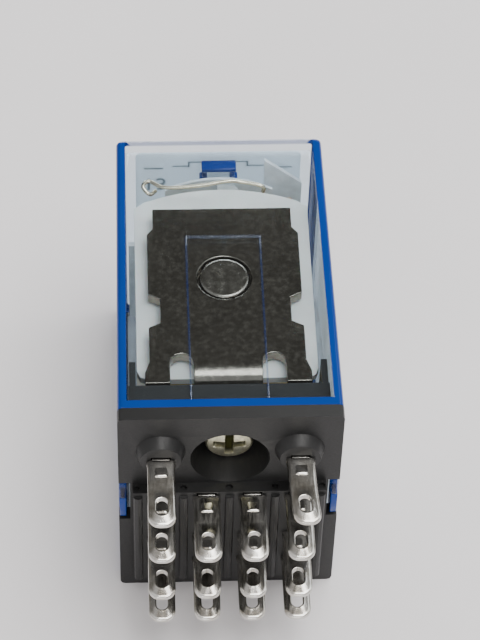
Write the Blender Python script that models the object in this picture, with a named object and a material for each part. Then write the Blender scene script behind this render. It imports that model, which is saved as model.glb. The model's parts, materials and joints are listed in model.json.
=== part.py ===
"""A four-pole plug-in relay with fourteen blade terminals, lying on its contact side.

X runs across the narrow width, Y from the terminals to the cover's end, Z up from the surface it lies on.
The origin is under the middle of the whole length, terminals included. Every place is worked out with the
flat underside of the base at y = 0, and FACE_Y then shifts it into the part's own frame.
"""

import math

import bmesh
import bpy
from mathutils import Matrix, Vector

# Overall sizes of the plastic body, in metres.
BODY_WIDTH = 0.0213
BODY_HEIGHT = 0.0277
BODY_LENGTH = 0.0354

# Clearances between separate pieces.
FIT_GAP = 0.0003
SMALL_GAP = 0.0001

# Cover.
COVER_WALL = 0.0008
COVER_END_WALL = 0.0009
COVER_CORNER = 0.0006
COVER_END_EDGE = 0.0004
SIDE_DRAFT = 0.00025
TOP_DRAFT = 0.00023
LATCH_LOW_Z = 0.0118
LATCH_HIGH_Z = 0.0172
LATCH_SKIN = 0.00006
CROWN_WIDTH = 0.0039
CROWN_TOP_WIDTH = 0.0032
CROWN_HEIGHT = 0.003
CROWN_DEPTH = 0.0011
CROWN_BELOW_TOP = 0.0024

# Labels let into the cover.
LABEL_THICKNESS = 0.00015
LABEL_MARGIN = 0.0022
LABEL_NEAR_MARGIN = 0.0075

# Base.
RIM_THICKNESS = 0.0014
BASE_CORNER = 0.0005
LEG_SEAT = 0.005
CONTACT_FLOOR = 0.0036
POST_WIDTH = 0.0006
POST_REACH = 0.0029
POST_LOW_Z = 0.0165
FIELD_STEP = 0.00115
FIELD_LOW_Z = 0.0025
FIELD_HIGH_Z = 0.0174
FIELD_SIDE_INSET = 0.00135
RIB_WIDTH = 0.0009
RIB_HEIGHT = 0.00035
BOSS_RADIUS = 0.0024
BOSS_TIP_RADIUS = 0.00195
DIMPLE_RADIUS = 0.00035
DIMPLE_DEPTH = 0.0004
DIMPLE_SIDE_X = 0.0089

# Terminals.
COLUMN_PITCH = 0.0044
NC_ROW_Z = 0.00635
NO_ROW_Z = 0.01033
COM_ROW_Z = 0.01667
COIL_ROW_Z = 0.02262
PIN_REACH = 0.00745
PIN_WIDTH = 0.0026
PIN_THICKNESS = 0.00055
PIN_TIP_RADIUS = 0.0011
PIN_EYE_WIDTH = 0.0011
PIN_EYE_LENGTH = 0.0019
PIN_EYE_TO_TIP = 0.0021
STRIP_WIDTH = 0.0017
SLOT_GAP = 0.0003

# Screw that holds the yoke's leg to the base.
SCREW_Z = 0.02085
SCREW_WELL_Z = 0.02125
SCREW_WELL_RADIUS = 0.0038
SCREW_WELL_TAPER = 0.0007
SCREW_WELL_DEPTH = 0.0037
SCREW_HEAD_RADIUS = 0.0023
SCREW_HEAD_HEIGHT = 0.0015
SCREW_SHANK_RADIUS = 0.0012
SCREW_CROSS_WIDTH = 0.0006
SCREW_CROSS_SPAN = 0.0028
SCREW_CROSS_DEPTH = 0.0009

# Yoke, core and coil.
PLATE_THICKNESS = 0.0012
PLATE_TOP_GAP = 0.0005
YOKE_SIDE_INSET = 0.00235
YOKE_TIP_INSET = 0.0075
YOKE_FOOT_WIDTH = 0.0024
YOKE_FOOT_FLARE = 0.00045
YOKE_NOTCH_DEPTH = 0.00115
YOKE_NOTCH_LENGTH = 0.0035
YOKE_NOTCH_Y = 0.01405
YOKE_FOOT_Y = 0.00525
YOKE_TIP_STEP = 0.0006
YOKE_TIP_LENGTH = 0.0025
YOKE_TIP_EASE = 0.0008
FLARE_START = 0.0009
FLARE_END = 0.0022
HEEL_HALF_WIDTH = 0.0033
ARCH_TOP_Y = 0.00875
HEEL_BEND_RADIUS = 0.0019
LEG_GAP = 0.0003
LEG_SHOULDER_DROP = 0.0024
LEG_HALF_WIDTH = 0.0066
PIVOT_Z = 0.0133
CORE_RADIUS = 0.003
CORE_NECK_RADIUS = 0.00245
CORE_NECK_GAP = 0.00025
POLE_RADIUS = 0.0045
POLE_THICKNESS = 0.001
FLANGE_THICKNESS = 0.0008
FLANGE_SIDE_GAP = 0.0009
FLANGE_END_GAP = 0.0037
FLANGE_END_SAG = 0.0016
FLANGE_CORNER = 0.001
FLANGE_SHOULDER = 0.0008
BOBBIN_WALL = 0.0007
WINDING_INSET = 0.0014
TAPE_THICKNESS = 0.0002

# Armature and contacts.
ARMATURE_THICKNESS = 0.0011
ARMATURE_HALF_WIDTH = 0.0068
ARMATURE_END_GAP = 0.0101
CONTACT_END_GAP = 0.0056
CARRIER_LENGTH = 0.0018
CARRIER_RISE = 0.0016
CARRIER_POST_WIDTH = 0.0012
CARRIER_BAR_HEIGHT = 0.0012
SPRING_WIDTH = 0.0016
SPRING_THICKNESS = 0.0002
CONTACT_RADIUS = 0.0007
CONTACT_HEAD = 0.00045
CONTACT_STEM = 0.0003
CONTACT_TO_TIP = 0.0012
LEAD_RADIUS = 0.00035

# Return spring, a compression spring between the bobbin and the armature.
RETURN_RADIUS = 0.0007
RETURN_WIRE = 0.00015
RETURN_TURNS = 3

# Indicator lamp and its resistor on the far edge of the bobbin.
LAMP_RADIUS = 0.0009
LAMP_LENGTH = 0.0024
LAMP_X = 0.0009
RESISTOR_RADIUS = 0.0008
RESISTOR_LENGTH = 0.0032
RESISTOR_X = 0.0059
RESISTOR_DROP = 0.0018
RESISTOR_INSET = 0.0007
WIRE_RADIUS = 0.0002
WIRE_STEP = 0.002
WIRE_HOOK_DROP = 0.0009
LOOP_INSET = 0.0016
LOOP_RADIUS = 0.00065
COIL_LEAD_REACH = 0.0007

# Arc barrier and insulating film at the far end.
BARRIER_THICKNESS = 0.0006
BARRIER_HEIGHT = 0.0118
BARRIER_FIN_WIDTH = 0.0008
BARRIER_FIN_LENGTH = 0.0042
WING_INNER_X = 0.00465
WING_OUTER_X = 0.00855
WING_INNER_Z = 0.0259
WING_OUTER_Z = 0.0224
FILM_THICKNESS = 0.0003
FILM_HALF_WIDTH = 0.0055
FILM_LOW_Z = 0.0165
FILM_RISE = 0.0017
FILM_CREST_DROP = 0.0022

# Places that follow from the sizes above, still with the base's underside at y = 0.
TOTAL_LENGTH = BODY_LENGTH + FIELD_STEP + PIN_REACH
FACE_Y = FIELD_STEP + PIN_REACH - TOTAL_LENGTH / 2
COLUMNS = [(index - 1.5) * COLUMN_PITCH for index in range(4)]
INNER_END_Y = BODY_LENGTH - COVER_END_WALL
INNER_HALF_WIDTH = BODY_WIDTH / 2 - SIDE_DRAFT - COVER_WALL
INNER_TOP_Z = BODY_HEIGHT - TOP_DRAFT - COVER_WALL
PLUG_HALF_WIDTH = BODY_WIDTH / 2 - COVER_WALL - FIT_GAP
PLATE_TOP_Z = INNER_TOP_Z - PLATE_TOP_GAP + TOP_DRAFT
PLATE_LOW_Z = PLATE_TOP_Z - PLATE_THICKNESS
LEG_OUTER_Y = LEG_SEAT + LEG_GAP
LEG_INNER_Y = LEG_OUTER_Y + PLATE_THICKNESS
YOKE_HALF_WIDTH = INNER_HALF_WIDTH - YOKE_SIDE_INSET + SIDE_DRAFT
YOKE_TIP_Y = INNER_END_Y - YOKE_TIP_INSET
FLANGE_HALF_WIDTH = INNER_HALF_WIDTH - FLANGE_SIDE_GAP
FLANGE_NEAR_Y = LEG_INNER_Y + FIT_GAP
FLANGE_FAR_Y = INNER_END_Y - FLANGE_END_GAP
CORE_Y = (LEG_OUTER_Y + FLANGE_FAR_Y) / 2
UPPER_FLANGE_Z = PLATE_LOW_Z - FIT_GAP - FLANGE_THICKNESS
LOWER_FLANGE_Z = PIVOT_Z + POLE_THICKNESS + FIT_GAP
CONTACT_Y = INNER_END_Y - CONTACT_END_GAP
ARMATURE_END_Y = INNER_END_Y - ARMATURE_END_GAP
CARRIER_Y = ARMATURE_END_Y + SMALL_GAP

# The moving contacts travel from one row's fixed contacts to the other's, and the angle follows from that.
CONTACT_SEAT = CONTACT_HEAD + SMALL_GAP
MOVING_HALF = SPRING_THICKNESS / 2 + CONTACT_HEAD
SPRING_Z = NO_ROW_Z - PIN_THICKNESS / 2 - CONTACT_SEAT - SMALL_GAP - MOVING_HALF
SPRING_OPEN_Z = NC_ROW_Z + PIN_THICKNESS / 2 + CONTACT_SEAT + SMALL_GAP + MOVING_HALF
OPEN_ANGLE = math.asin((SPRING_Z - SPRING_OPEN_Z) / (CONTACT_Y - LEG_OUTER_Y))


def remove_scene_objects():
    for thing in list(bpy.data.objects):
        bpy.data.objects.remove(thing, do_unlink=True)


def make_material(name, colour, roughness, metallic, alpha=1.0):
    material = bpy.data.materials.new(name)
    material.use_nodes = True
    shader = material.node_tree.nodes["Principled BSDF"]
    shader.inputs["Base Color"].default_value = (*colour, 1.0)
    shader.inputs["Roughness"].default_value = roughness
    shader.inputs["Metallic"].default_value = metallic
    shader.inputs["Alpha"].default_value = alpha
    return material


def shift_to_frame(mesh):
    """Moves a mesh built with the base's underside at y = 0 into the part's own frame."""
    mesh.transform(Matrix.Translation((0, FACE_Y, 0)))


def link_object(name, mesh, material):
    thing = bpy.data.objects.new(name, mesh)
    bpy.context.scene.collection.objects.link(thing)
    mesh.materials.clear()
    mesh.materials.append(material)
    return thing


def mesh_from(name, points, faces):
    mesh = bpy.data.meshes.new(name)
    mesh.from_pydata([tuple(point) for point in points], [], faces)
    shape = bmesh.new()
    shape.from_mesh(mesh)
    bmesh.ops.recalc_face_normals(shape, faces=shape.faces)
    shape.to_mesh(mesh)
    shape.free()
    return mesh


def box_mesh(low, high):
    """A closed box between two opposite corners."""
    points = [(x, y, z) for x in (low[0], high[0]) for y in (low[1], high[1]) for z in (low[2], high[2])]
    faces = [(0, 1, 3, 2), (4, 6, 7, 5), (0, 4, 5, 1), (2, 3, 7, 6), (0, 2, 6, 4), (1, 5, 7, 3)]
    return mesh_from("box", points, faces)


def prism_mesh(outline, axis, low, high):
    """A closed prism: outline points in the plane across the axis, carried from low to high along it.

    The outline gives (y, z) for axis X, (x, z) for axis Y and (x, y) for axis Z."""
    place = {
        "X": lambda first, second, along: (along, first, second),
        "Y": lambda first, second, along: (first, along, second),
        "Z": lambda first, second, along: (first, second, along),
    }[axis]
    count = len(outline)
    points = [place(first, second, along) for along in (low, high) for first, second in outline]
    faces = [tuple(range(count)), tuple(range(2 * count - 1, count - 1, -1))]
    for index in range(count):
        following = (index + 1) % count
        faces.append((index, index + count, following + count, following))
    return mesh_from("prism", points, faces)


def rings_mesh(rings):
    """A closed skin through rings of equal size, with a flat cap on the first and the last."""
    count = len(rings[0])
    points = [point for ring in rings for point in ring]
    faces = [tuple(range(count)), tuple(len(points) - count + index for index in range(count))]
    for level in range(len(rings) - 1):
        start = level * count
        for index in range(count):
            following = (index + 1) % count
            faces.append((start + index, start + following, start + following + count, start + index + count))
    return mesh_from("rings", points, faces)


def arc_points(centre, radius, start, end, steps):
    """Points on an arc from one angle to another, in degrees, both ends included."""
    angles = [math.radians(start + (end - start) * step / steps) for step in range(steps + 1)]
    return [(centre[0] + radius * math.cos(angle), centre[1] + radius * math.sin(angle)) for angle in angles]


def rounded_rectangle(low_a, high_a, low_b, high_b, radius, steps=2):
    """A rectangle with round corners, anticlockwise from its lower right."""
    outline = arc_points((high_a - radius, low_b + radius), radius, -90, 0, steps)
    outline += arc_points((high_a - radius, high_b - radius), radius, 0, 90, steps)
    outline += arc_points((low_a + radius, high_b - radius), radius, 90, 180, steps)
    outline += arc_points((low_a + radius, low_b + radius), radius, 180, 270, steps)
    return outline


def circle_outline(centre, radius, sides):
    angles = [2 * math.pi * step / sides for step in range(sides)]
    return [(centre[0] + radius * math.cos(angle), centre[1] + radius * math.sin(angle)) for angle in angles]


def turned_mesh(profile, centre, axis, sides):
    """A closed solid of revolution: profile gives (radius, along) pairs from one end to the other."""
    rings = []
    for radius, along in profile:
        if axis == "Z":
            rings.append([(x, y, along) for x, y in circle_outline(centre, radius, sides)])
        elif axis == "Y":
            rings.append([(x, along, z) for x, z in circle_outline(centre, radius, sides)])
        else:
            rings.append([(along, y, z) for y, z in circle_outline(centre, radius, sides)])
    return rings_mesh(rings)


def boolean(thing, mesh, operation):
    """Adds or takes away one mesh and applies it, so that the object stays one closed body."""
    cutter = bpy.data.objects.new("cutter", mesh)
    bpy.context.scene.collection.objects.link(cutter)
    step = thing.modifiers.new("boolean", "BOOLEAN")
    step.operation = operation
    step.solver = "EXACT"
    step.object = cutter
    graph = bpy.context.evaluated_depsgraph_get()
    result = bpy.data.meshes.new_from_object(thing.evaluated_get(graph))
    materials = list(thing.data.materials)
    thing.modifiers.clear()
    thing.data = result
    thing.data.materials.clear()
    for material in materials:
        thing.data.materials.append(material)
    bpy.data.objects.remove(cutter, do_unlink=True)


def add_to(thing, mesh):
    boolean(thing, mesh, "UNION")


def cut_from(thing, mesh):
    boolean(thing, mesh, "DIFFERENCE")


def tube_object(name, points, radius, material, resolution=1, smooth=True):
    """A round wire or lead through hand-set points, as a curve with filled caps."""
    route = smooth_route(points) if smooth else points
    curve = bpy.data.curves.new(name, "CURVE")
    curve.dimensions = "3D"
    curve.bevel_depth = radius
    curve.bevel_resolution = resolution
    curve.use_fill_caps = True
    spline = curve.splines.new("POLY")
    spline.points.add(len(route) - 1)
    for point, place in zip(spline.points, route):
        point.co = (place[0], place[1] + FACE_Y, place[2], 1.0)
    thing = bpy.data.objects.new(name, curve)
    bpy.context.scene.collection.objects.link(thing)
    curve.materials.append(material)
    return thing


def smooth_route(points, steps=3):
    """Points along a smooth curve that passes through every given point."""
    places = [Vector(point) for point in points]
    places = [places[0] * 2 - places[1], *places, places[-1] * 2 - places[-2]]
    route = []
    for index in range(1, len(places) - 2):
        before, start, end, after = places[index - 1 : index + 3]
        for step in range(steps):
            t = step / steps
            bend = 2 * start + (end - before) * t
            bend += (2 * before - 5 * start + 4 * end - after) * t**2
            bend += (3 * start - before - 3 * end + after) * t**3
            route.append(bend / 2)
    route.append(places[-2])
    return route


def half_width_at(y):
    """The cover's outer half width, which its draft narrows towards the far end."""
    share = (y - RIM_THICKNESS) / (BODY_LENGTH - RIM_THICKNESS)
    return BODY_WIDTH / 2 - SIDE_DRAFT * share


def top_z_at(y):
    """The height of the cover's upper face, which its draft lowers towards the far end."""
    share = (y - RIM_THICKNESS) / (BODY_LENGTH - RIM_THICKNESS)
    return BODY_HEIGHT - TOP_DRAFT * share


def cover_ring(y, inset, radius):
    outline = rounded_rectangle(
        -half_width_at(y) + inset, half_width_at(y) - inset, inset, top_z_at(y) - inset, radius
    )
    return [(x, y, z) for x, z in outline]


def side_slab_mesh(side, near, far, low, high, shallow, deep):
    """A thin slab along one drafted side wall, between two depths under its outer face."""
    points = []
    for y in (near, far):
        for z in (low, high):
            for depth in (shallow, deep):
                points.append((side * (half_width_at(y) - depth), y, z))
    faces = [(0, 1, 3, 2), (4, 6, 7, 5), (0, 4, 5, 1), (2, 3, 7, 6), (0, 2, 6, 4), (1, 5, 7, 3)]
    return mesh_from("slab", points, faces)


def label_bounds(margin):
    """Near, far, low and high limits of a side label, grown by a margin for the recess that holds it."""
    near = LABEL_NEAR_MARGIN - margin
    far = BODY_LENGTH - LABEL_MARGIN + margin
    low = LABEL_MARGIN - margin
    high = BODY_HEIGHT - LABEL_MARGIN + margin
    return near, far, low, high


def end_label_corners(margin):
    """Two opposite corners (x, z) of the end label, grown by a margin."""
    side = BODY_WIDTH / 2 - LABEL_MARGIN + margin
    return (-side, LABEL_MARGIN - margin), (side, BODY_HEIGHT - LABEL_MARGIN + margin)


def build_cover(material):
    near, edge = RIM_THICKNESS, BODY_LENGTH - COVER_END_EDGE
    inner_corner = COVER_CORNER / 2
    rings = [
        cover_ring(INNER_END_Y, COVER_WALL, inner_corner),
        cover_ring(near, COVER_WALL, inner_corner),
        cover_ring(near, 0.0, COVER_CORNER),
        cover_ring(edge, 0.0, COVER_CORNER),
        cover_ring(BODY_LENGTH, COVER_END_EDGE / 2, COVER_CORNER),
    ]
    cover = link_object("cover", rings_mesh(rings), material)
    for side in (-1, 1):
        latch = side_slab_mesh(
            side, SMALL_GAP, near + COVER_WALL, LATCH_LOW_Z, LATCH_HIGH_Z, LATCH_SKIN, COVER_WALL - LATCH_SKIN
        )
        add_to(cover, latch)
        recess = LABEL_THICKNESS + SMALL_GAP
        cut_from(cover, side_slab_mesh(side, *label_bounds(SMALL_GAP), -SMALL_GAP, recess))
    low, high = end_label_corners(SMALL_GAP)
    recess_floor = BODY_LENGTH - LABEL_THICKNESS - SMALL_GAP
    cut_from(cover, box_mesh((low[0], recess_floor, low[1]), (high[0], BODY_LENGTH + SMALL_GAP, high[1])))
    crown_top = top_z_at(BODY_LENGTH) - CROWN_BELOW_TOP
    crown = [
        (-CROWN_WIDTH / 2, crown_top - CROWN_HEIGHT),
        (CROWN_WIDTH / 2, crown_top - CROWN_HEIGHT),
        (CROWN_TOP_WIDTH / 2, crown_top),
        (-CROWN_TOP_WIDTH / 2, crown_top),
    ]
    add_to(cover, prism_mesh(crown, "Y", INNER_END_Y - CROWN_DEPTH, INNER_END_Y + COVER_END_WALL / 3))
    shift_to_frame(cover.data)


def build_labels(material):
    for name, side in (("left_label", -1), ("right_label", 1)):
        mesh = side_slab_mesh(side, *label_bounds(0.0), 0.0, LABEL_THICKNESS)
        shift_to_frame(mesh)
        link_object(name, mesh, material)
    low, high = end_label_corners(0.0)
    mesh = box_mesh((low[0], BODY_LENGTH - LABEL_THICKNESS, low[1]), (high[0], BODY_LENGTH, high[1]))
    shift_to_frame(mesh)
    link_object("end_label", mesh, material)


def pin_slot_mesh(x, z, low, high):
    """The hole that a terminal's strip passes through. The blade outside it is wider than the hole."""
    reach = PIN_THICKNESS / 2 + SLOT_GAP
    side = STRIP_WIDTH / 2 + SMALL_GAP
    return box_mesh((x - side, low, z - reach), (x + side, high, z + reach))


def build_base(material):
    rim = rounded_rectangle(-BODY_WIDTH / 2, BODY_WIDTH / 2, 0.0, BODY_HEIGHT, BASE_CORNER)
    base = link_object("base", prism_mesh(rim, "Y", 0.0, RIM_THICKNESS), material)
    bury = RIM_THICKNESS / 2
    plug_low_z = COVER_WALL + FIT_GAP
    plug_top_z = BODY_HEIGHT - TOP_DRAFT - COVER_WALL - FIT_GAP
    leg_low_z = PIVOT_Z + LEG_GAP * 2
    add_to(base, box_mesh((-PLUG_HALF_WIDTH, bury, plug_low_z), (PLUG_HALF_WIDTH, CONTACT_FLOOR, plug_top_z)))
    seat_low = (-PLUG_HALF_WIDTH, RIM_THICKNESS, leg_low_z)
    add_to(base, box_mesh(seat_low, (PLUG_HALF_WIDTH, LEG_SEAT, plug_top_z)))
    for side in (-1, 1):
        outer = PLUG_HALF_WIDTH - SMALL_GAP
        inner = outer - POST_WIDTH
        low = (min(side * inner, side * outer), LEG_SEAT - bury, POST_LOW_Z)
        high = (max(side * inner, side * outer), LEG_SEAT + POST_REACH, plug_top_z - SMALL_GAP)
        add_to(base, box_mesh(low, high))
    field_half = BODY_WIDTH / 2 - FIELD_SIDE_INSET
    add_to(base, box_mesh((-field_half, -FIELD_STEP, FIELD_LOW_Z), (field_half, bury, FIELD_HIGH_Z)))
    for index in range(5):
        x = (index - 2) * COLUMN_PITCH
        rib = arc_points((x, -FIELD_STEP), RIB_WIDTH / 2, 180, 360, 4)
        flatten = RIB_HEIGHT * 2 / RIB_WIDTH
        rib = [(point[0], -FIELD_STEP + (point[1] + FIELD_STEP) * flatten) for point in rib]
        rib += [(x + RIB_WIDTH / 2, -bury), (x - RIB_WIDTH / 2, -bury)]
        add_to(base, prism_mesh(rib, "Z", FIELD_LOW_Z + FIT_GAP, FIELD_HIGH_Z - FIT_GAP * 2))
    for x in (-DIMPLE_SIDE_X, -COLUMN_PITCH, 0.0, COLUMN_PITCH, DIMPLE_SIDE_X):
        dimple = circle_outline((x, -FIELD_STEP / 2), DIMPLE_RADIUS, 10)
        cut_from(base, prism_mesh(dimple, "Z", FIELD_HIGH_Z - DIMPLE_DEPTH, FIELD_HIGH_Z + DIMPLE_DEPTH))
    well = [
        (SCREW_WELL_RADIUS, -FIELD_STEP * 2),
        (SCREW_WELL_RADIUS, 0.0),
        (SCREW_WELL_RADIUS - SCREW_WELL_TAPER, SCREW_WELL_DEPTH),
    ]
    cut_from(base, turned_mesh(well, (0.0, SCREW_WELL_Z), "Y", 32))
    shank = circle_outline((0.0, SCREW_Z), SCREW_SHANK_RADIUS + FIT_GAP, 12)
    cut_from(base, prism_mesh(shank, "Y", SCREW_WELL_DEPTH - bury, LEG_SEAT + bury))
    for x in (COLUMNS[0], COLUMNS[3]):
        boss = [(BOSS_TIP_RADIUS, -FIELD_STEP), (BOSS_RADIUS, 0.0), (BOSS_RADIUS, bury)]
        add_to(base, turned_mesh(boss, (x, COIL_ROW_Z), "Y", 20))
        cut_from(base, pin_slot_mesh(x, COIL_ROW_Z, -FIELD_STEP * 2, LEG_SEAT + bury))
    for x in COLUMNS:
        for z in (NC_ROW_Z, NO_ROW_Z):
            cut_from(base, pin_slot_mesh(x, z, -FIELD_STEP * 2, CONTACT_FLOOR + bury))
        cut_from(base, pin_slot_mesh(x, COM_ROW_Z, -FIELD_STEP * 2, CONTACT_FLOOR + bury))
        side = STRIP_WIDTH / 2 + SLOT_GAP
        channel_high = COM_ROW_Z + PIN_THICKNESS / 2 + SLOT_GAP
        low = (x - side, CONTACT_FLOOR, leg_low_z - bury)
        cut_from(base, box_mesh(low, (x + side, LEG_SEAT + bury, channel_high)))
    for side in (-1, 1):
        x = side * BODY_WIDTH / 2
        notch = (COVER_WALL + FIT_GAP) * side
        low = (min(x - notch, x + notch), -FIELD_STEP, LATCH_LOW_Z - FIT_GAP)
        high = (max(x - notch, x + notch), RIM_THICKNESS + bury, LATCH_HIGH_Z + FIT_GAP)
        cut_from(base, box_mesh(low, high))
    shift_to_frame(base.data)


def yoke_half_outline():
    """The right half of the yoke plate from its far edge to the heel's bend, as (x, y) points."""
    wide = YOKE_HALF_WIDTH
    foot = wide + YOKE_FOOT_FLARE
    foot_inner = foot - YOKE_FOOT_WIDTH
    arch_radius = (foot_inner - HEEL_HALF_WIDTH) / 2
    arch_centre = (HEEL_HALF_WIDTH + arch_radius, ARCH_TOP_Y - arch_radius)
    notch_low = YOKE_NOTCH_Y - YOKE_NOTCH_LENGTH / 2
    notch_high = YOKE_NOTCH_Y + YOKE_NOTCH_LENGTH / 2
    ease = FIT_GAP
    outline = [
        (wide - YOKE_TIP_STEP, YOKE_TIP_Y),
        (wide - YOKE_TIP_STEP, YOKE_TIP_Y - YOKE_TIP_LENGTH),
        (wide, YOKE_TIP_Y - YOKE_TIP_LENGTH - YOKE_TIP_EASE),
        (wide, notch_high + ease),
        (wide - YOKE_NOTCH_DEPTH, notch_high - ease),
        (wide - YOKE_NOTCH_DEPTH, notch_low + ease),
        (wide, notch_low - ease),
        (wide, ARCH_TOP_Y - FLARE_START),
        (foot, ARCH_TOP_Y - FLARE_END),
        (foot, YOKE_FOOT_Y),
        (foot_inner, YOKE_FOOT_Y),
    ]
    outline += arc_points(arch_centre, arch_radius, 0, 180, 6)
    outline.append((HEEL_HALF_WIDTH, LEG_OUTER_Y + HEEL_BEND_RADIUS))
    return outline


def build_yoke(material):
    half = yoke_half_outline()
    outline = half + [(-x, y) for x, y in reversed(half)]
    yoke = link_object("yoke", prism_mesh(outline, "Z", PLATE_LOW_Z, PLATE_TOP_Z), material)
    bend_y = LEG_OUTER_Y + HEEL_BEND_RADIUS
    bend_z = PLATE_TOP_Z - HEEL_BEND_RADIUS
    inner_radius = HEEL_BEND_RADIUS - PLATE_THICKNESS
    shoulder_z = PLATE_TOP_Z - LEG_SHOULDER_DROP
    overlap = PLATE_THICKNESS / 2
    profile = [(bend_y + overlap, PLATE_TOP_Z)]
    profile += arc_points((bend_y, bend_z), HEEL_BEND_RADIUS, 90, 180, 6)
    profile += [(LEG_OUTER_Y, shoulder_z - overlap), (LEG_INNER_Y, shoulder_z - overlap)]
    profile += arc_points((bend_y, bend_z), inner_radius, 180, 90, 4)
    profile.append((bend_y + overlap, PLATE_LOW_Z))
    add_to(yoke, prism_mesh(profile, "X", -HEEL_HALF_WIDTH, HEEL_HALF_WIDTH))
    leg_low = (-LEG_HALF_WIDTH, LEG_OUTER_Y, PIVOT_Z)
    add_to(yoke, box_mesh(leg_low, (LEG_HALF_WIDTH, LEG_INNER_Y, shoulder_z)))
    rivet_hole = circle_outline((0.0, CORE_Y), CORE_NECK_RADIUS + CORE_NECK_GAP, 24)
    cut_from(yoke, prism_mesh(rivet_hole, "Z", PLATE_LOW_Z - overlap, PLATE_TOP_Z + overlap))
    screw_hole = circle_outline((0.0, SCREW_Z), SCREW_SHANK_RADIUS + SMALL_GAP, 12)
    cut_from(yoke, prism_mesh(screw_hole, "Y", LEG_OUTER_Y - overlap, LEG_INNER_Y + overlap))
    shift_to_frame(yoke.data)


def build_core(material):
    neck_z = PLATE_LOW_Z - FIT_GAP
    profile = [
        (POLE_RADIUS, PIVOT_Z),
        (POLE_RADIUS, PIVOT_Z + POLE_THICKNESS),
        (CORE_RADIUS, PIVOT_Z + POLE_THICKNESS + SMALL_GAP),
        (CORE_RADIUS, neck_z),
        (CORE_NECK_RADIUS, neck_z + SMALL_GAP / 2),
        (CORE_NECK_RADIUS, PLATE_TOP_Z - SMALL_GAP),
        (CORE_NECK_RADIUS - SMALL_GAP, PLATE_TOP_Z),
    ]
    mesh = turned_mesh(profile, (0.0, CORE_Y), "Z", 24)
    shift_to_frame(mesh)
    link_object("core", mesh, material)


def stadium_outline(half_x, half_y, centre_y, steps=8):
    """A slot shape: two half circles apart along Y by twice the difference of the two half sizes."""
    straight = half_y - half_x
    outline = arc_points((0.0, centre_y + straight), half_x, 0, 180, steps)
    outline += arc_points((0.0, centre_y - straight), half_x, 180, 360, steps)
    return outline


def flange_outline():
    """A bobbin flange: straight near edge, round near corners and an arched far edge."""
    side = FLANGE_HALF_WIDTH
    corner_y = FLANGE_FAR_Y - FLANGE_END_SAG
    arc_half = side - FLANGE_CORNER
    radius = (arc_half**2 + FLANGE_END_SAG**2) / (2 * FLANGE_END_SAG)
    spread = math.degrees(math.asin(arc_half / radius))
    outline = arc_points((arc_half, FLANGE_NEAR_Y + FLANGE_CORNER), FLANGE_CORNER, -90, 0, 2)
    outline.append((side, corner_y - FLANGE_SHOULDER))
    outline += arc_points((0.0, FLANGE_FAR_Y - radius), radius, 90 - spread, 90 + spread, 8)
    outline.append((-side, corner_y - FLANGE_SHOULDER))
    outline += arc_points((-arc_half, FLANGE_NEAR_Y + FLANGE_CORNER), FLANGE_CORNER, 180, 270, 2)
    return outline


def winding_centre():
    return (FLANGE_NEAR_Y + FLANGE_FAR_Y) / 2


def build_bobbin(material):
    flange = flange_outline()
    bobbin = link_object(
        "bobbin", prism_mesh(flange, "Z", UPPER_FLANGE_Z, UPPER_FLANGE_Z + FLANGE_THICKNESS), material
    )
    add_to(bobbin, prism_mesh(flange, "Z", LOWER_FLANGE_Z, LOWER_FLANGE_Z + FLANGE_THICKNESS))
    bore = CORE_RADIUS + FIT_GAP
    sleeve = circle_outline((0.0, CORE_Y), bore + BOBBIN_WALL, 20)
    bury = FLANGE_THICKNESS / 2
    add_to(bobbin, prism_mesh(sleeve, "Z", LOWER_FLANGE_Z + bury, UPPER_FLANGE_Z + bury))
    hole = circle_outline((0.0, CORE_Y), bore, 24)
    cut_from(bobbin, prism_mesh(hole, "Z", LOWER_FLANGE_Z - bury, PLATE_LOW_Z))
    shift_to_frame(bobbin.data)


def build_winding(wire, tape):
    half_x = FLANGE_HALF_WIDTH - WINDING_INSET - TAPE_THICKNESS - SMALL_GAP
    half_y = (FLANGE_FAR_Y - FLANGE_NEAR_Y) / 2 - WINDING_INSET - TAPE_THICKNESS - SMALL_GAP
    low = LOWER_FLANGE_Z + FLANGE_THICKNESS + SMALL_GAP
    high = UPPER_FLANGE_Z - SMALL_GAP
    centre = winding_centre()
    winding = link_object(
        "coil_winding", prism_mesh(stadium_outline(half_x, half_y, centre), "Z", low, high), wire
    )
    sleeve = circle_outline((0.0, CORE_Y), CORE_RADIUS + FIT_GAP + BOBBIN_WALL + SMALL_GAP, 20)
    cut_from(winding, prism_mesh(sleeve, "Z", low - SMALL_GAP, high + SMALL_GAP))
    shift_to_frame(winding.data)
    outer = stadium_outline(half_x + SMALL_GAP + TAPE_THICKNESS, half_y + SMALL_GAP + TAPE_THICKNESS, centre)
    inner = stadium_outline(half_x + SMALL_GAP, half_y + SMALL_GAP, centre)
    wrap = link_object("coil_tape", prism_mesh(outer, "Z", low, high), tape)
    cut_from(wrap, prism_mesh(inner, "Z", low - SMALL_GAP, high + SMALL_GAP))
    shift_to_frame(wrap.data)


def blade_outline(x):
    """The plug-in end of a terminal: parallel sides, a tip with round corners, in the plane of its width."""
    half = PIN_WIDTH / 2
    tip = -FIELD_STEP - PIN_REACH
    outline = arc_points((x - half + PIN_TIP_RADIUS, tip + PIN_TIP_RADIUS), PIN_TIP_RADIUS, 180, 270, 4)
    outline += arc_points((x + half - PIN_TIP_RADIUS, tip + PIN_TIP_RADIUS), PIN_TIP_RADIUS, 270, 360, 4)
    return outline


def eye_mesh(x, z):
    """The obround eye near a terminal's tip."""
    radius = PIN_EYE_WIDTH / 2
    reach = (PIN_EYE_LENGTH - PIN_EYE_WIDTH) / 2
    middle = -FIELD_STEP - PIN_REACH + PIN_EYE_TO_TIP
    outline = arc_points((x, middle + reach), radius, 0, 180, 5)
    outline += arc_points((x, middle - reach), radius, 180, 360, 5)
    return prism_mesh(outline, "Z", z - PIN_THICKNESS, z + PIN_THICKNESS)


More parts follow.
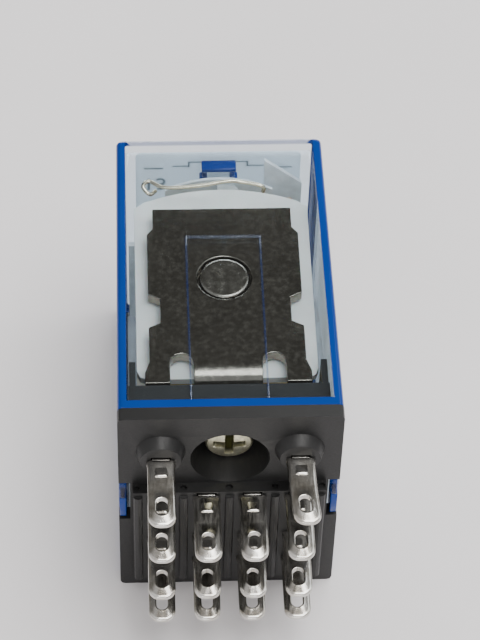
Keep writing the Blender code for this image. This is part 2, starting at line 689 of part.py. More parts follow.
def build_terminal(name, x, z, strip_end, material):
    """A flat terminal: a blade whose shoulders sit on the raised field, then a narrower strip inwards."""
    half = PIN_WIDTH / 2
    narrow = STRIP_WIDTH / 2
    shoulder = -FIELD_STEP - SMALL_GAP
    outline = blade_outline(x)
    outline += [(x + half, shoulder), (x + narrow, shoulder), (x + narrow, strip_end)]
    outline += [(x - narrow, strip_end), (x - narrow, shoulder), (x - half, shoulder)]
    terminal = link_object(
        name, prism_mesh(outline, "Z", z - PIN_THICKNESS / 2, z + PIN_THICKNESS / 2), material
    )
    cut_from(terminal, eye_mesh(x, z))
    return terminal


def build_terminals(material):
    strip_tip = CONTACT_Y + CONTACT_TO_TIP
    for index, x in enumerate(COLUMNS):
        nc = build_terminal(f"nc_terminal_{index + 1}", x, NC_ROW_Z, strip_tip, material)
        no = build_terminal(f"no_terminal_{index + 5}", x, NO_ROW_Z, strip_tip, material)
        hole = circle_outline((x, CONTACT_Y), CONTACT_STEM + SMALL_GAP, 8)
        cut_from(nc, prism_mesh(hole, "Z", NC_ROW_Z - PIN_THICKNESS, NC_ROW_Z + PIN_THICKNESS))
        cut_from(no, prism_mesh(hole, "Z", NO_ROW_Z - PIN_THICKNESS, NO_ROW_Z + PIN_THICKNESS))
        shift_to_frame(nc.data)
        shift_to_frame(no.data)
        strip_low = CONTACT_FLOOR + FIT_GAP
        strip_high = strip_low + PIN_THICKNESS
        com = build_terminal(f"com_terminal_{index + 9}", x, COM_ROW_Z, strip_high, material)
        tongue = box_mesh(
            (x - STRIP_WIDTH / 2, strip_low, lead_start_z() + SMALL_GAP),
            (x + STRIP_WIDTH / 2, strip_high, COM_ROW_Z + PIN_THICKNESS / 2),
        )
        add_to(com, tongue)
        shift_to_frame(com.data)
    for name, x in (("coil_terminal_13", COLUMNS[0]), ("coil_terminal_14", COLUMNS[3])):
        terminal = build_terminal(name, x, COIL_ROW_Z, LEG_SEAT - FIT_GAP, material)
        shift_to_frame(terminal.data)


def rivet_profile(face_z, back_z, towards):
    """A rivet contact: head on one face of its strip and a stem that ends just short of the other face."""
    head = face_z + towards * CONTACT_SEAT
    seat = face_z + towards * SMALL_GAP
    profile = [
        (CONTACT_STEM, back_z),
        (CONTACT_STEM, seat),
        (CONTACT_RADIUS, seat + towards * SMALL_GAP / 10),
        (CONTACT_RADIUS, head - towards * SMALL_GAP),
        (CONTACT_RADIUS * 0.7, head),
    ]
    return profile


def build_fixed_contacts(material):
    half = PIN_THICKNESS / 2
    for index, x in enumerate(COLUMNS):
        rows = (
            (f"nc_contact_{index + 1}", NC_ROW_Z + half, NC_ROW_Z - half, 1),
            (f"no_contact_{index + 5}", NO_ROW_Z - half, NO_ROW_Z + half, -1),
        )
        for name, face_z, back_z, towards in rows:
            mesh = turned_mesh(rivet_profile(face_z, back_z, towards), (x, CONTACT_Y), "Z", 12)
            shift_to_frame(mesh)
            link_object(name, mesh, material)


def hang_on_pivot(thing, pivot):
    """Puts an object's origin on the armature's pivot and hands it to the pivot's empty."""
    thing.data.transform(Matrix.Translation((0, -LEG_OUTER_Y, -PIVOT_Z)))
    thing.parent = pivot


def build_armature(material, pivot):
    top = PIVOT_Z - SMALL_GAP
    low = (-ARMATURE_HALF_WIDTH, LEG_OUTER_Y, top - ARMATURE_THICKNESS)
    plate = box_mesh(low, (ARMATURE_HALF_WIDTH, ARMATURE_END_Y, top))
    armature = link_object("armature", plate, material)
    hang_on_pivot(armature, pivot)


def build_carrier(material, pivot):
    """A moulded comb on the armature's end: upper bar, posts between the strips, slotted lower bar."""
    near, far = CARRIER_Y, CARRIER_Y + CARRIER_LENGTH
    upper_top = LOWER_FLANGE_Z - FIT_GAP
    lower_top = SPRING_Z + CARRIER_BAR_HEIGHT / 2
    lower_low = SPRING_Z - CARRIER_BAR_HEIGHT / 2
    post_centres = [COLUMNS[0] + COLUMN_PITCH * (index + 0.5) for index in range(3)]
    bar_half = COLUMNS[3] + STRIP_WIDTH / 2 + FIT_GAP
    upper_low = NO_ROW_Z + PIN_THICKNESS / 2 + CARRIER_RISE - FIT_GAP
    upper_bar = box_mesh((-bar_half, near, upper_low), (bar_half, far, upper_top))
    carrier = link_object("contact_carrier", upper_bar, material)
    add_to(carrier, box_mesh((-bar_half, near, lower_low), (bar_half, far, lower_top)))
    for x in post_centres:
        half = CARRIER_POST_WIDTH / 2
        inset = SMALL_GAP
        post = box_mesh(
            (x - half, near + inset, SPRING_Z + SPRING_THICKNESS * 2),
            (x + half, far - inset, upper_low + CARRIER_RISE / 2),
        )
        add_to(carrier, post)
    for x in COLUMNS:
        half = SPRING_WIDTH / 2 + SMALL_GAP
        rise = SPRING_THICKNESS / 2 + SMALL_GAP
        low = (x - half, near - CARRIER_LENGTH, SPRING_Z - rise)
        high = (x + half, far + CARRIER_LENGTH, SPRING_Z + rise)
        cut_from(carrier, box_mesh(low, high))
    hang_on_pivot(carrier, pivot)


def spring_rear_y():
    return CARRIER_Y - CARRIER_LENGTH * 1.5


def build_moving_springs(spring_material, contact_material, pivot):
    for index, x in enumerate(COLUMNS):
        half = SPRING_WIDTH / 2
        low = (x - half, spring_rear_y(), SPRING_Z - SPRING_THICKNESS / 2)
        high = (x + half, CONTACT_Y + CONTACT_TO_TIP, SPRING_Z + SPRING_THICKNESS / 2)
        blade = link_object(f"moving_spring_{index + 1}", box_mesh(low, high), spring_material)
        hole = circle_outline((x, CONTACT_Y), CONTACT_STEM + SMALL_GAP, 8)
        cut_from(blade, prism_mesh(hole, "Z", low[2] - SMALL_GAP, high[2] + SMALL_GAP))
        hang_on_pivot(blade, pivot)
        seat = SPRING_THICKNESS / 2 + SMALL_GAP
        ease = SMALL_GAP / 10
        head = MOVING_HALF
        profile = [
            (CONTACT_RADIUS * 0.7, SPRING_Z - head),
            (CONTACT_RADIUS, SPRING_Z - head + SMALL_GAP),
            (CONTACT_RADIUS, SPRING_Z - seat - ease),
            (CONTACT_STEM, SPRING_Z - seat),
            (CONTACT_STEM, SPRING_Z + seat),
            (CONTACT_RADIUS, SPRING_Z + seat + ease),
            (CONTACT_RADIUS, SPRING_Z + head - SMALL_GAP),
            (CONTACT_RADIUS * 0.7, SPRING_Z + head),
        ]
        mesh = turned_mesh(profile, (x, CONTACT_Y), "Z", 12)
        contact = link_object(f"moving_contact_{index + 1}", mesh, contact_material)
        hang_on_pivot(contact, pivot)


def dropped_open(y, z):
    """Where a point of the armature's group lies once the group has dropped open about its pivot."""
    reach, rise = y - LEG_OUTER_Y, z - PIVOT_Z
    open_y = LEG_OUTER_Y + reach * math.cos(OPEN_ANGLE) + rise * math.sin(OPEN_ANGLE)
    open_z = PIVOT_Z - reach * math.sin(OPEN_ANGLE) + rise * math.cos(OPEN_ANGLE)
    return open_y, open_z


def lead_start_z():
    """The height where the flexible leads leave the common terminals, just under the armature."""
    return PIVOT_Z - ARMATURE_THICKNESS + SMALL_GAP


def build_flexible_leads(material):
    """Each lead runs from a common terminal through the gap beside its column to its moving spring."""
    rear, low_z = dropped_open(spring_rear_y(), SPRING_Z)
    start_y = CONTACT_FLOOR + FIT_GAP + PIN_THICKNESS / 2
    for index, x in enumerate(COLUMNS):
        side = 1 if x > 0 else -1
        gap_x = side * (COLUMN_PITCH if abs(x) > COLUMN_PITCH else LEAD_RADIUS * 1.8)
        top = lead_start_z() - SMALL_GAP
        span = rear - LEG_OUTER_Y
        route = [
            (x, start_y, top),
            (x + (gap_x - x) * 0.3, start_y + SMALL_GAP, top - LEAD_RADIUS),
            (gap_x, LEG_OUTER_Y, top - LEAD_RADIUS * 3),
            (gap_x, LEG_OUTER_Y + span * 0.25, (NO_ROW_Z + low_z) / 2),
            (gap_x, LEG_OUTER_Y + span * 0.65, low_z + LEAD_RADIUS),
            (x + (gap_x - x) * 0.4, rear - LEAD_RADIUS * 3, low_z + SMALL_GAP),
            (x, rear - SMALL_GAP, low_z),
        ]
        tube_object(f"flexible_lead_{index + 9}", route, LEAD_RADIUS, material)


def armature_top_at(y):
    """The height of the open armature's upper face at a distance from its pivot."""
    return PIVOT_Z - SMALL_GAP - math.tan(OPEN_ANGLE) * (y - LEG_OUTER_Y)


def build_return_spring(material):
    y = (CORE_Y + POLE_RADIUS + ARMATURE_END_Y) / 2
    low = armature_top_at(y + RETURN_RADIUS) + RETURN_WIRE + SMALL_GAP * 2
    high = LOWER_FLANGE_Z - RETURN_WIRE - SMALL_GAP
    steps = RETURN_TURNS * 10
    route = []
    for step in range(steps + 1):
        angle = 2 * math.pi * step / 10
        height = low + (high - low) * step / steps
        route.append((RETURN_RADIUS * math.cos(angle), y + RETURN_RADIUS * math.sin(angle), height))
    tube_object("return_spring", route, RETURN_WIRE, material, smooth=False)


def build_screw(material):
    head_low = SCREW_WELL_DEPTH - FIT_GAP - SCREW_HEAD_HEIGHT
    profile = [
        (SCREW_HEAD_RADIUS - FIT_GAP, head_low),
        (SCREW_HEAD_RADIUS, head_low + FIT_GAP),
        (SCREW_HEAD_RADIUS, SCREW_WELL_DEPTH - FIT_GAP),
        (SCREW_SHANK_RADIUS, SCREW_WELL_DEPTH - FIT_GAP + SMALL_GAP / 2),
        (SCREW_SHANK_RADIUS, LEG_INNER_Y),
    ]
    screw = link_object("base_screw", turned_mesh(profile, (0.0, SCREW_Z), "Y", 24), material)
    half, span = SCREW_CROSS_WIDTH / 2, SCREW_CROSS_SPAN / 2
    for wide, tall in ((half, span), (span, half)):
        low = (-wide, head_low - FIT_GAP, SCREW_Z - tall)
        cut_from(screw, box_mesh(low, (wide, head_low + SCREW_CROSS_DEPTH, SCREW_Z + tall)))
    shift_to_frame(screw.data)


def end_shelf_y():
    """The line just past the bobbin's far edge where the lamp and the resistor lie."""
    return FLANGE_FAR_Y + LAMP_RADIUS + SMALL_GAP


def build_lamp_parts(lamp_material, resistor_material, wire_material):
    """The lamp stands clear of the bobbin's edge; the resistor is tucked under the edge's falling side."""
    lamp_z = UPPER_FLANGE_Z - LAMP_RADIUS
    lamp_y = end_shelf_y()
    resistor_y = FLANGE_FAR_Y - RESISTOR_INSET
    profile = [
        (LAMP_RADIUS, LAMP_X - LAMP_LENGTH / 2),
        (LAMP_RADIUS, LAMP_X + LAMP_LENGTH / 4),
        (LAMP_RADIUS * 0.8, LAMP_X + LAMP_LENGTH * 0.4),
        (LAMP_RADIUS * 0.35, LAMP_X + LAMP_LENGTH / 2),
    ]
    mesh = turned_mesh(profile, (lamp_y, lamp_z), "X", 12)
    shift_to_frame(mesh)
    link_object("indicator_lamp", mesh, lamp_material)
    resistor_z = UPPER_FLANGE_Z + FLANGE_THICKNESS - RESISTOR_DROP
    half = RESISTOR_LENGTH / 2
    profile = [
        (RESISTOR_RADIUS * 0.6, RESISTOR_X - half),
        (RESISTOR_RADIUS, RESISTOR_X - half * 0.85),
        (RESISTOR_RADIUS, RESISTOR_X - half * 0.5),
        (RESISTOR_RADIUS * 0.85, RESISTOR_X - half * 0.4),
        (RESISTOR_RADIUS * 0.85, RESISTOR_X + half * 0.4),
        (RESISTOR_RADIUS, RESISTOR_X + half * 0.5),
        (RESISTOR_RADIUS, RESISTOR_X + half * 0.85),
        (RESISTOR_RADIUS * 0.6, RESISTOR_X + half),
    ]
    mesh = turned_mesh(profile, (resistor_y, resistor_z), "X", 12)
    shift_to_frame(mesh)
    link_object("resistor", mesh, resistor_material)
    lamp_end = LAMP_X + LAMP_LENGTH / 2
    resistor_end = RESISTOR_X - half
    bridge = [
        (lamp_end + SMALL_GAP, lamp_y, lamp_z),
        ((lamp_end + resistor_end) / 2, (lamp_y + resistor_y) / 2, (lamp_z + resistor_z) / 2),
        (resistor_end - SMALL_GAP, resistor_y, resistor_z),
    ]
    tube_object("lamp_bridge_wire", bridge, WIRE_RADIUS, wire_material)
    wire_y = FLANGE_FAR_Y + WIRE_RADIUS * 1.5
    wire_z = UPPER_FLANGE_Z + FLANGE_THICKNESS + WIRE_RADIUS + SMALL_GAP
    loop_x = -FLANGE_HALF_WIDTH + LOOP_INSET
    arch = [
        (resistor_end + SMALL_GAP, wire_y - WIRE_RADIUS, wire_z - WIRE_HOOK_DROP),
        (resistor_end, wire_y - WIRE_RADIUS, wire_z),
        (resistor_end - WIRE_STEP, wire_y + WIRE_RADIUS, wire_z + WIRE_RADIUS),
        (LAMP_X, wire_y + WIRE_RADIUS, wire_z + WIRE_RADIUS * 2),
        (LAMP_X - WIRE_STEP * 1.5, wire_y - WIRE_RADIUS, wire_z + WIRE_RADIUS),
        (loop_x + LOOP_INSET, wire_y - WIRE_RADIUS, wire_z),
        (loop_x, wire_y + LOOP_RADIUS, wire_z),
        (loop_x - LOOP_RADIUS, wire_y, wire_z),
        (loop_x, wire_y - LOOP_RADIUS, wire_z - WIRE_RADIUS * 2.5),
        (loop_x + LOOP_RADIUS, wire_y, wire_z - WIRE_RADIUS * 3.5),
    ]
    tube_object("lamp_return_wire", arch, WIRE_RADIUS, wire_material)


def build_coil_leads(material):
    """Short wires from the coil terminals up between the leg's edge and the base's posts to the coil."""
    for name, side in (("coil_lead_13", -1), ("coil_lead_14", 1)):
        x = side * COLUMNS[3]
        lead_x = side * (LEG_HALF_WIDTH + FIT_GAP + WIRE_RADIUS * 2)
        edge_y = LEG_SEAT + WIRE_RADIUS
        route = [
            (x, edge_y - SMALL_GAP, COIL_ROW_Z + PIN_THICKNESS),
            (lead_x, LEG_OUTER_Y + WIRE_RADIUS, COIL_ROW_Z + PIN_THICKNESS),
            (lead_x, LEG_INNER_Y + WIRE_RADIUS, COIL_ROW_Z + PIN_THICKNESS / 2),
            (lead_x - side * WIRE_RADIUS, FLANGE_NEAR_Y + COIL_LEAD_REACH, COIL_ROW_Z),
        ]
        tube_object(name, route, WIRE_RADIUS, material)


def build_arc_barrier(material):
    """A plate across the far end behind the contacts, with fins between the poles and a slanted wing."""
    far = INNER_END_Y - FIT_GAP
    near = far - BARRIER_THICKNESS
    half = INNER_HALF_WIDTH - FIT_GAP
    low = COVER_WALL + FIT_GAP
    plate = box_mesh((-half, near, low), (half, far, low + BARRIER_HEIGHT))
    barrier = link_object("arc_barrier", plate, material)
    for index in range(3):
        x = COLUMNS[0] + COLUMN_PITCH * (index + 0.5)
        fin_half = BARRIER_FIN_WIDTH / 2
        fin_low = (x - fin_half, near - BARRIER_FIN_LENGTH, low + FIT_GAP)
        fin_high = (x + fin_half, near + BARRIER_THICKNESS / 2, low + BARRIER_HEIGHT - FIT_GAP)
        add_to(barrier, box_mesh(fin_low, fin_high))
    root_z = low + BARRIER_HEIGHT / 2
    wing = [
        (WING_INNER_X, root_z),
        (WING_OUTER_X, root_z),
        (WING_OUTER_X, WING_OUTER_Z),
        (WING_INNER_X, WING_INNER_Z),
    ]
    add_to(barrier, prism_mesh(wing, "Y", near + SMALL_GAP, far - SMALL_GAP))
    shift_to_frame(barrier.data)


def build_insulating_film(material):
    """A stiff clear film upright past the coil's far edge, with an arched top."""
    near = INNER_END_Y - CROWN_DEPTH - FIT_GAP - FILM_THICKNESS
    crest = top_z_at(near) - COVER_WALL - FIT_GAP - FILM_CREST_DROP
    radius = (FILM_HALF_WIDTH**2 + FILM_RISE**2) / (2 * FILM_RISE)
    spread = math.degrees(math.asin(FILM_HALF_WIDTH / radius))
    outline = arc_points((0.0, crest - radius), radius, 90 - spread, 90 + spread, 8)
    outline += [(-FILM_HALF_WIDTH, FILM_LOW_Z), (FILM_HALF_WIDTH, FILM_LOW_Z)]
    mesh = prism_mesh(outline, "Y", near, near + FILM_THICKNESS)
    shift_to_frame(mesh)
    link_object("insulating_film", mesh, material)


def smooth_round_pieces():
    """Round pieces shade smooth, with creases kept where their faces meet at a real edge."""
    for thing in bpy.data.objects:
        if thing.type == "MESH":
            thing.data.shade_smooth()
            thing.data.set_sharp_from_angle(angle=math.radians(32))


def main():
    remove_scene_objects()
    clear_plastic = make_material("clear blue polycarbonate", (0.55, 0.72, 0.95), 0.08, 0.0, 0.3)
    black_plastic = make_material("black moulded phenolic", (0.03, 0.028, 0.027), 0.5, 0.0)
    white_plastic = make_material("white nylon", (0.8, 0.79, 0.74), 0.45, 0.0)
    milky_plastic = make_material("milky insulating film", (0.82, 0.82, 0.8), 0.3, 0.0, 0.6)
    paper = make_material("label paper", (0.8, 0.82, 0.84), 0.7, 0.0)
    yoke_steel = make_material("nickel-plated yoke steel", (0.19, 0.17, 0.16), 0.38, 1.0)
    core_steel = make_material("bright core steel", (0.45, 0.43, 0.41), 0.3, 1.0)
    copper = make_material("enamelled copper wire", (0.45, 0.16, 0.08), 0.35, 1.0)
    tape = make_material("winding tape", (0.75, 0.6, 0.25), 0.5, 0.0)
    tinned = make_material("tinned brass", (0.62, 0.61, 0.58), 0.25, 1.0)
    bronze = make_material("phosphor bronze", (0.6, 0.38, 0.2), 0.3, 1.0)
    silver = make_material("silver contact", (0.75, 0.74, 0.72), 0.25, 1.0)
    braid = make_material("copper braid", (0.5, 0.22, 0.12), 0.45, 1.0)
    zinc = make_material("yellow zinc plate", (0.6, 0.58, 0.42), 0.3, 1.0)
    lamp = make_material("clear epoxy lamp", (0.85, 0.86, 0.85), 0.1, 0.0, 0.6)
    lacquer = make_material("resistor lacquer", (0.55, 0.42, 0.25), 0.35, 0.0)
    build_cover(clear_plastic)
    build_labels(paper)
    build_base(black_plastic)
    build_yoke(yoke_steel)
    build_core(core_steel)
    build_bobbin(white_plastic)
    build_winding(copper, tape)
    build_terminals(tinned)
    build_fixed_contacts(silver)
    pivot = bpy.data.objects.new("armature_pivot", None)
    bpy.context.scene.collection.objects.link(pivot)
    pivot.location = (0.0, LEG_OUTER_Y + FACE_Y, PIVOT_Z)
    pivot.rotation_euler = (-OPEN_ANGLE, 0.0, 0.0)
    build_armature(yoke_steel, pivot)
    build_carrier(white_plastic, pivot)
    build_moving_springs(bronze, silver, pivot)
    build_flexible_leads(braid)
    build_return_spring(core_steel)
    build_screw(zinc)
    build_lamp_parts(lamp, lacquer, tinned)
    build_coil_leads(copper)
    build_arc_barrier(milky_plastic)
    build_insulating_film(milky_plastic)
    smooth_round_pieces()


main()
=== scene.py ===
"""A four-pole plug-in relay in a clear blue cover, lying on its contact side on a pale bench.

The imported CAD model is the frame. Pieces that are seen closely are rebuilt here as fine surfaces in the same
place, or are the CAD pieces with their edges rounded, and every piece gets a material that is worked out from
the real one. Lengths are in metres: X across the narrow width, Y from the blades to the cover's end, Z up.
"""

import json
import math

import bmesh
import bpy
import numpy as np
from bpy.props import FloatProperty, FloatVectorProperty, IntProperty, PointerProperty
from mathutils import Matrix, Vector


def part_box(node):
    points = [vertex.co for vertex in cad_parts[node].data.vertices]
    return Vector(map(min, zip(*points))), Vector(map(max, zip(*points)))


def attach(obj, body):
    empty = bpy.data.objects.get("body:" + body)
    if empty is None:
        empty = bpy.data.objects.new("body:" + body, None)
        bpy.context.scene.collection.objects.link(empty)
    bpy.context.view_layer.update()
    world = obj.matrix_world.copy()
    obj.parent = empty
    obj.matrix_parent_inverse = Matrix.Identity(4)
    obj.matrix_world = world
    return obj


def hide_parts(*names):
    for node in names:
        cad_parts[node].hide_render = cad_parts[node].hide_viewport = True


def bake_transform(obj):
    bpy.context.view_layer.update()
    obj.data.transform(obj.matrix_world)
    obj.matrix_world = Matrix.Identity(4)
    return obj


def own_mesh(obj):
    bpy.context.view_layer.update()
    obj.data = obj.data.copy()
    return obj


bl_info = {
    "name": "Plug-in relay",
    "version": (1, 0, 0),
    "blender": (4, 5, 0),
    "location": "View3D > Sidebar > Relay",
    "description": "Builds the fine surfaces and materials of a four-pole plug-in relay round its CAD frame",
    "category": "Mesh",
}

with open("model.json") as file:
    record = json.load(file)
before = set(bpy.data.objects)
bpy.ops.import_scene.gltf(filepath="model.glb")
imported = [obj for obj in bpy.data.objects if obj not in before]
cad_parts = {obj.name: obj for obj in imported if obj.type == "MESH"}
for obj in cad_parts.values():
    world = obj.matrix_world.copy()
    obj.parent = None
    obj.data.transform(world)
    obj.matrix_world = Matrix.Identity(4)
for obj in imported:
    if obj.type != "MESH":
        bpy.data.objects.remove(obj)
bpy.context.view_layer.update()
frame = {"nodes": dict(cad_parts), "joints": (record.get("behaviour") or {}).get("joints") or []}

STILL = "relay_frame"
MOVING = "armature"
JOINT = frame["joints"][0]
MM = 0.001


def span(node):
    """Lowest and highest corner of a CAD node at rest, as arrays."""
    low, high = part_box(node)
    return np.array(low), np.array(high)


# Places read from the frame, and the few sizes that its boxes don't give by themselves.
BASE_LOW, BASE_HIGH = span("base")
COVER_LOW, COVER_HIGH = span("cover")
RIB_HEIGHT = 0.35 * MM
FIELD_STEP = 1.15 * MM
UNDERSIDE_Y = BASE_LOW[1] + RIB_HEIGHT + FIELD_STEP
RIM_Y = UNDERSIDE_Y + 1.4 * MM
FIELD_Y = UNDERSIDE_Y - FIELD_STEP
SHOULDER_GAP = 0.1 * MM
END_Y = COVER_HIGH[1]
HALF_WIDTH = COVER_HIGH[0]
HEIGHT = COVER_HIGH[2]
BLADE_THICKNESS = 0.55 * MM
PIVOT = np.array(JOINT["pos_m"])


def linear(colour):
    """The linear red, green and blue of an sRGB hex colour."""
    values = np.array([int(colour[start : start + 2], 16) for start in (0, 2, 4)]) / 255
    curved = np.where(values <= 0.04045, values / 12.92, ((values + 0.055) / 1.055) ** 2.4)
    return tuple(float(value) for value in curved)


def solid(colour):
    """A colour property's value with full alpha, for a shader's socket."""
    return (*colour, 1.0)


def colour_property(name, hex_colour, description):
    return FloatVectorProperty(
        name=name, description=description, subtype="COLOR", size=3, min=0.0, max=1.0,
        default=linear(hex_colour),
    )


def length_property(name, millimetres, description):
    return FloatProperty(
        name=name, description=description, default=millimetres * MM, unit="LENGTH", subtype="DISTANCE",
        precision=5,
    )


# Settings that a user would change, one group for each kind of piece.


class CoverSettings(bpy.types.PropertyGroup):
    wall: length_property("Wall", 0.8, "Thickness of the side walls")
    end_wall: length_property("End wall", 0.9, "Thickness of the wall at the far end")
    corner: length_property("Corner", 0.6, "Radius of the long outer corners")
    end_edge: length_property("End edge", 0.4, "Radius of the edge round the far end")
    side_draft: length_property("Side draft", 0.25, "How far each side leans in over the length")
    top_draft: length_property("Top draft", 0.23, "How far the upper face leans in over the length")
    band: length_property("Band", 0.85, "Width of the deep blue strip where walls are seen edge on")
    # The deep blue strip is painted on: it stands in for the light that passes along a wall's length, and Edge
    # blue is its colour.
    label_recess: length_property("Label recess", 0.25, "Depth of the shallow seat for each label")
    edge_blue: colour_property("Edge blue", "023079", "Colour of the plastic seen through its length")
    panel_tint: colour_property("Panel tint", "F7FBFE", "Tint of one surface of a wall seen square on")


class LabelSettings(bpy.types.PropertyGroup):
    paper: colour_property("Label", "F1F5F7", "Colour of the label film")
    ink: colour_property("Ink", "2E3338", "Colour of the print on the front")
    # Colour of a grey copy of the print on the film's back: painted shade where the front ink keeps light from
    # coming through the film.
    ghost: colour_property("Ink shadow", "A9AFB3", "Colour of the print seen from behind")
    thickness: length_property("Thickness", 0.15, "Thickness of the label film")
    number_height: length_property("Number height", 1.9, "Height of the terminal numbers")
    stroke: length_property("Stroke", 0.16, "Width of the diagram's lines")


class BaseSettings(bpy.types.PropertyGroup):
    edge_round: length_property("Edge round", 0.12, "Radius of the moulded edges")
    colour: colour_property("Colour", "191919", "Colour of the moulding")


class SteelSettings(bpy.types.PropertyGroup):
    yoke_round: length_property("Edge round", 0.1, "Radius of the pressed edges")
    yoke_colour: colour_property("Yoke", "8A8378", "Colour of the nickel over the yoke's steel")
    core_colour: colour_property("Core", "8F887D", "Colour of the turned core")


class CoilSettings(bpy.types.PropertyGroup):
    bobbin_round: length_property("Bobbin edge", 0.15, "Radius of the bobbin's edges")
    nylon: colour_property("Bobbin", "E9E8E1", "Colour of the bobbin and the carrier")
    tape: colour_property("Tape", "C7A24B", "Colour of the tape over the winding")
    wire: colour_property("Wire", "B5622F", "Colour of the enamelled wire")


class TerminalSettings(bpy.types.PropertyGroup):
    tip_radius: length_property("Tip corner", 1.1, "Radius of the tip's corners")
    eye_width: length_property("Eye width", 1.1, "Width of the eye")
    eye_length: length_property("Eye length", 1.9, "Length of the eye")
    eye_to_tip: length_property("Eye to tip", 2.1, "Distance from the eye's middle to the tip")
    eye_rim: length_property("Eye rim", 0.05, "Height of the pressed rim round the eye")
    coin_width: length_property("Coined edge", 0.2, "Width of the coined edge")
    coin_depth: length_property("Coin depth", 0.09, "Depth of the coined edge")
    strip_width: length_property("Strip width", 1.7, "Width of the strip inside the base")
    bend: length_property("Bend", 0.4, "Sideways bend at the tip of the right coil blade")
    tin: colour_property("Tin", "D9D7D2", "Colour of the tinned face")


class ContactSettings(bpy.types.PropertyGroup):
    edge_round: length_property("Edge round", 0.05, "Radius of the small stamped edges")
    silver: colour_property("Silver", "E8E6E0", "Colour of the contact rivets")
    bronze: colour_property("Bronze", "C98F58", "Colour of the moving springs")
    braid: colour_property("Braid", "B06A42", "Colour of the flexible leads")
    braid_radius: length_property("Braid radius", 0.33, "Outer radius of a flexible lead")
    braid_strands: IntProperty(name="Strands", description="Strands in a flexible lead", default=7, min=3)
    braid_pitch: length_property("Braid pitch", 2.4, "Length in which a strand goes once round")


class ScrewSettings(bpy.types.PropertyGroup):
    cross_width: length_property("Cross width", 0.75, "Width of the cross recess's arms")
    cross_span: length_property("Cross span", 3.0, "Length of the cross recess")
    cross_depth: length_property("Cross depth", 0.9, "Depth of the cross recess")
    zinc: colour_property("Zinc", "F3F0D4", "Colour of the yellowish zinc plate")
    # The colour of the cross recess is painted shade in the recess together with old grease.
    recess_shade_and_grease: colour_property("Recess shade and grease", "35351C", "Colour of the cross recess")


class LampSettings(bpy.types.PropertyGroup):
    lacquer: colour_property("Resistor", "B89468", "Colour of the resistor's lacquer")
    bands: colour_property("Bands", "7A2A1E", "Colour of the resistor's bands")
    wire: colour_property("Wire", "D8CDB4", "Colour of the lead wires")


class StageSettings(bpy.types.PropertyGroup):
    camera: FloatVectorProperty(
        name="Camera", description="Place of the camera", subtype="TRANSLATION", size=3, unit="LENGTH",
        default=(-0.00943, -0.1626, 0.22992),
    )
    yaw: FloatProperty(name="Yaw", description="Turn to the right", default=0.0663, subtype="ANGLE")
    pitch: FloatProperty(name="Pitch", description="Tilt downwards", default=0.8977, subtype="ANGLE")
    roll: FloatProperty(name="Roll", description="Lean to the left", default=0.0355, subtype="ANGLE")
    lens: FloatProperty(name="Lens", description="Focal length in mm for a 36 mm sensor", default=151.76)
    bench: colour_property("Bench", "E3E0E1", "Colour of the bench top")
    key_power: FloatProperty(
        name="Key light", description="Power of the ceiling panel", default=3.3, unit="POWER"
    )
    sky: FloatProperty(name="Room light", description="Strength of the light from the room", default=0.95)


# Meshes.


def grid_faces(rows, columns, closed_round=True, closed_along=False):
    """Four-sided faces between neighbouring points of a grid, joined round or along where asked for."""
    index = np.arange(rows * columns).reshape(rows, columns)
    if closed_along:
        index = np.vstack([index, index[:1]])
    if closed_round:
        index = np.hstack([index, index[:, :1]])
    corners = [index[:-1, :-1], index[:-1, 1:], index[1:, 1:], index[1:, :-1]]
    return np.stack(corners, axis=-1).reshape(-1, 4).tolist()


def skin(rings):
    """A closed surface: rings of equal size, each joined to the next, with a flat face on both ends."""
    rings = np.asarray(rings, dtype=float)
    rows, columns = rings.shape[:2]
    faces = grid_faces(rows, columns)
    faces.append(list(range(columns))[::-1])
    faces.append(list(range((rows - 1) * columns, rows * columns)))
    return rings.reshape(-1, 3), faces


def hoop(rings):
    """A closed surface like a washer: rings of equal size, with the last joined to the first."""
    rings = np.asarray(rings, dtype=float)
    rows, columns = rings.shape[:2]
    return rings.reshape(-1, 3), grid_faces(rows, columns, closed_along=True)


def joined(parts):
    """Several surfaces as one list of points and one of faces."""
    points, faces, start = [], [], 0
    for part_points, part_faces in parts:
        points.append(part_points)
        faces += [[start + corner for corner in face] for face in part_faces]
        start += len(part_points)
    return np.vstack(points), faces


def point_outwards(mesh):
    shape = bmesh.new()
    shape.from_mesh(mesh)
    bmesh.ops.recalc_face_normals(shape, faces=shape.faces)
    shape.to_mesh(mesh)
    shape.free()


def place_piece(name, mesh, material, body=STILL, nodes=(), slot=None):
    """Puts a finished mesh in the scene, on its body, and hides the CAD nodes that it stands for."""
    piece = bpy.data.objects.new(name, mesh)
    bpy.context.scene.collection.objects.link(piece)
    mesh.materials.clear()
    mesh.materials.append(material)
    if nodes:
        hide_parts(*nodes)
    if body:
        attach(piece, body)
    return piece


def make_piece(name, parts, material, crease=35.0, marks=None, **place):
    """A piece from one or more surfaces, smooth but for edges sharper than the crease.

    marks gives named values for all its points, which a material reads as attributes."""
    points, faces = joined(parts)
    mesh = bpy.data.meshes.new(name)
    mesh.from_pydata(points.tolist(), [], faces)
    for label, values in (marks or {}).items():
        mesh.attributes.new(label, "FLOAT", "POINT").data.foreach_set("value", np.asarray(values, np.float32))
    point_outwards(mesh)
    mesh.shade_smooth()
    mesh.set_sharp_from_angle(angle=math.radians(crease))
    return place_piece(name, mesh, material, **place)


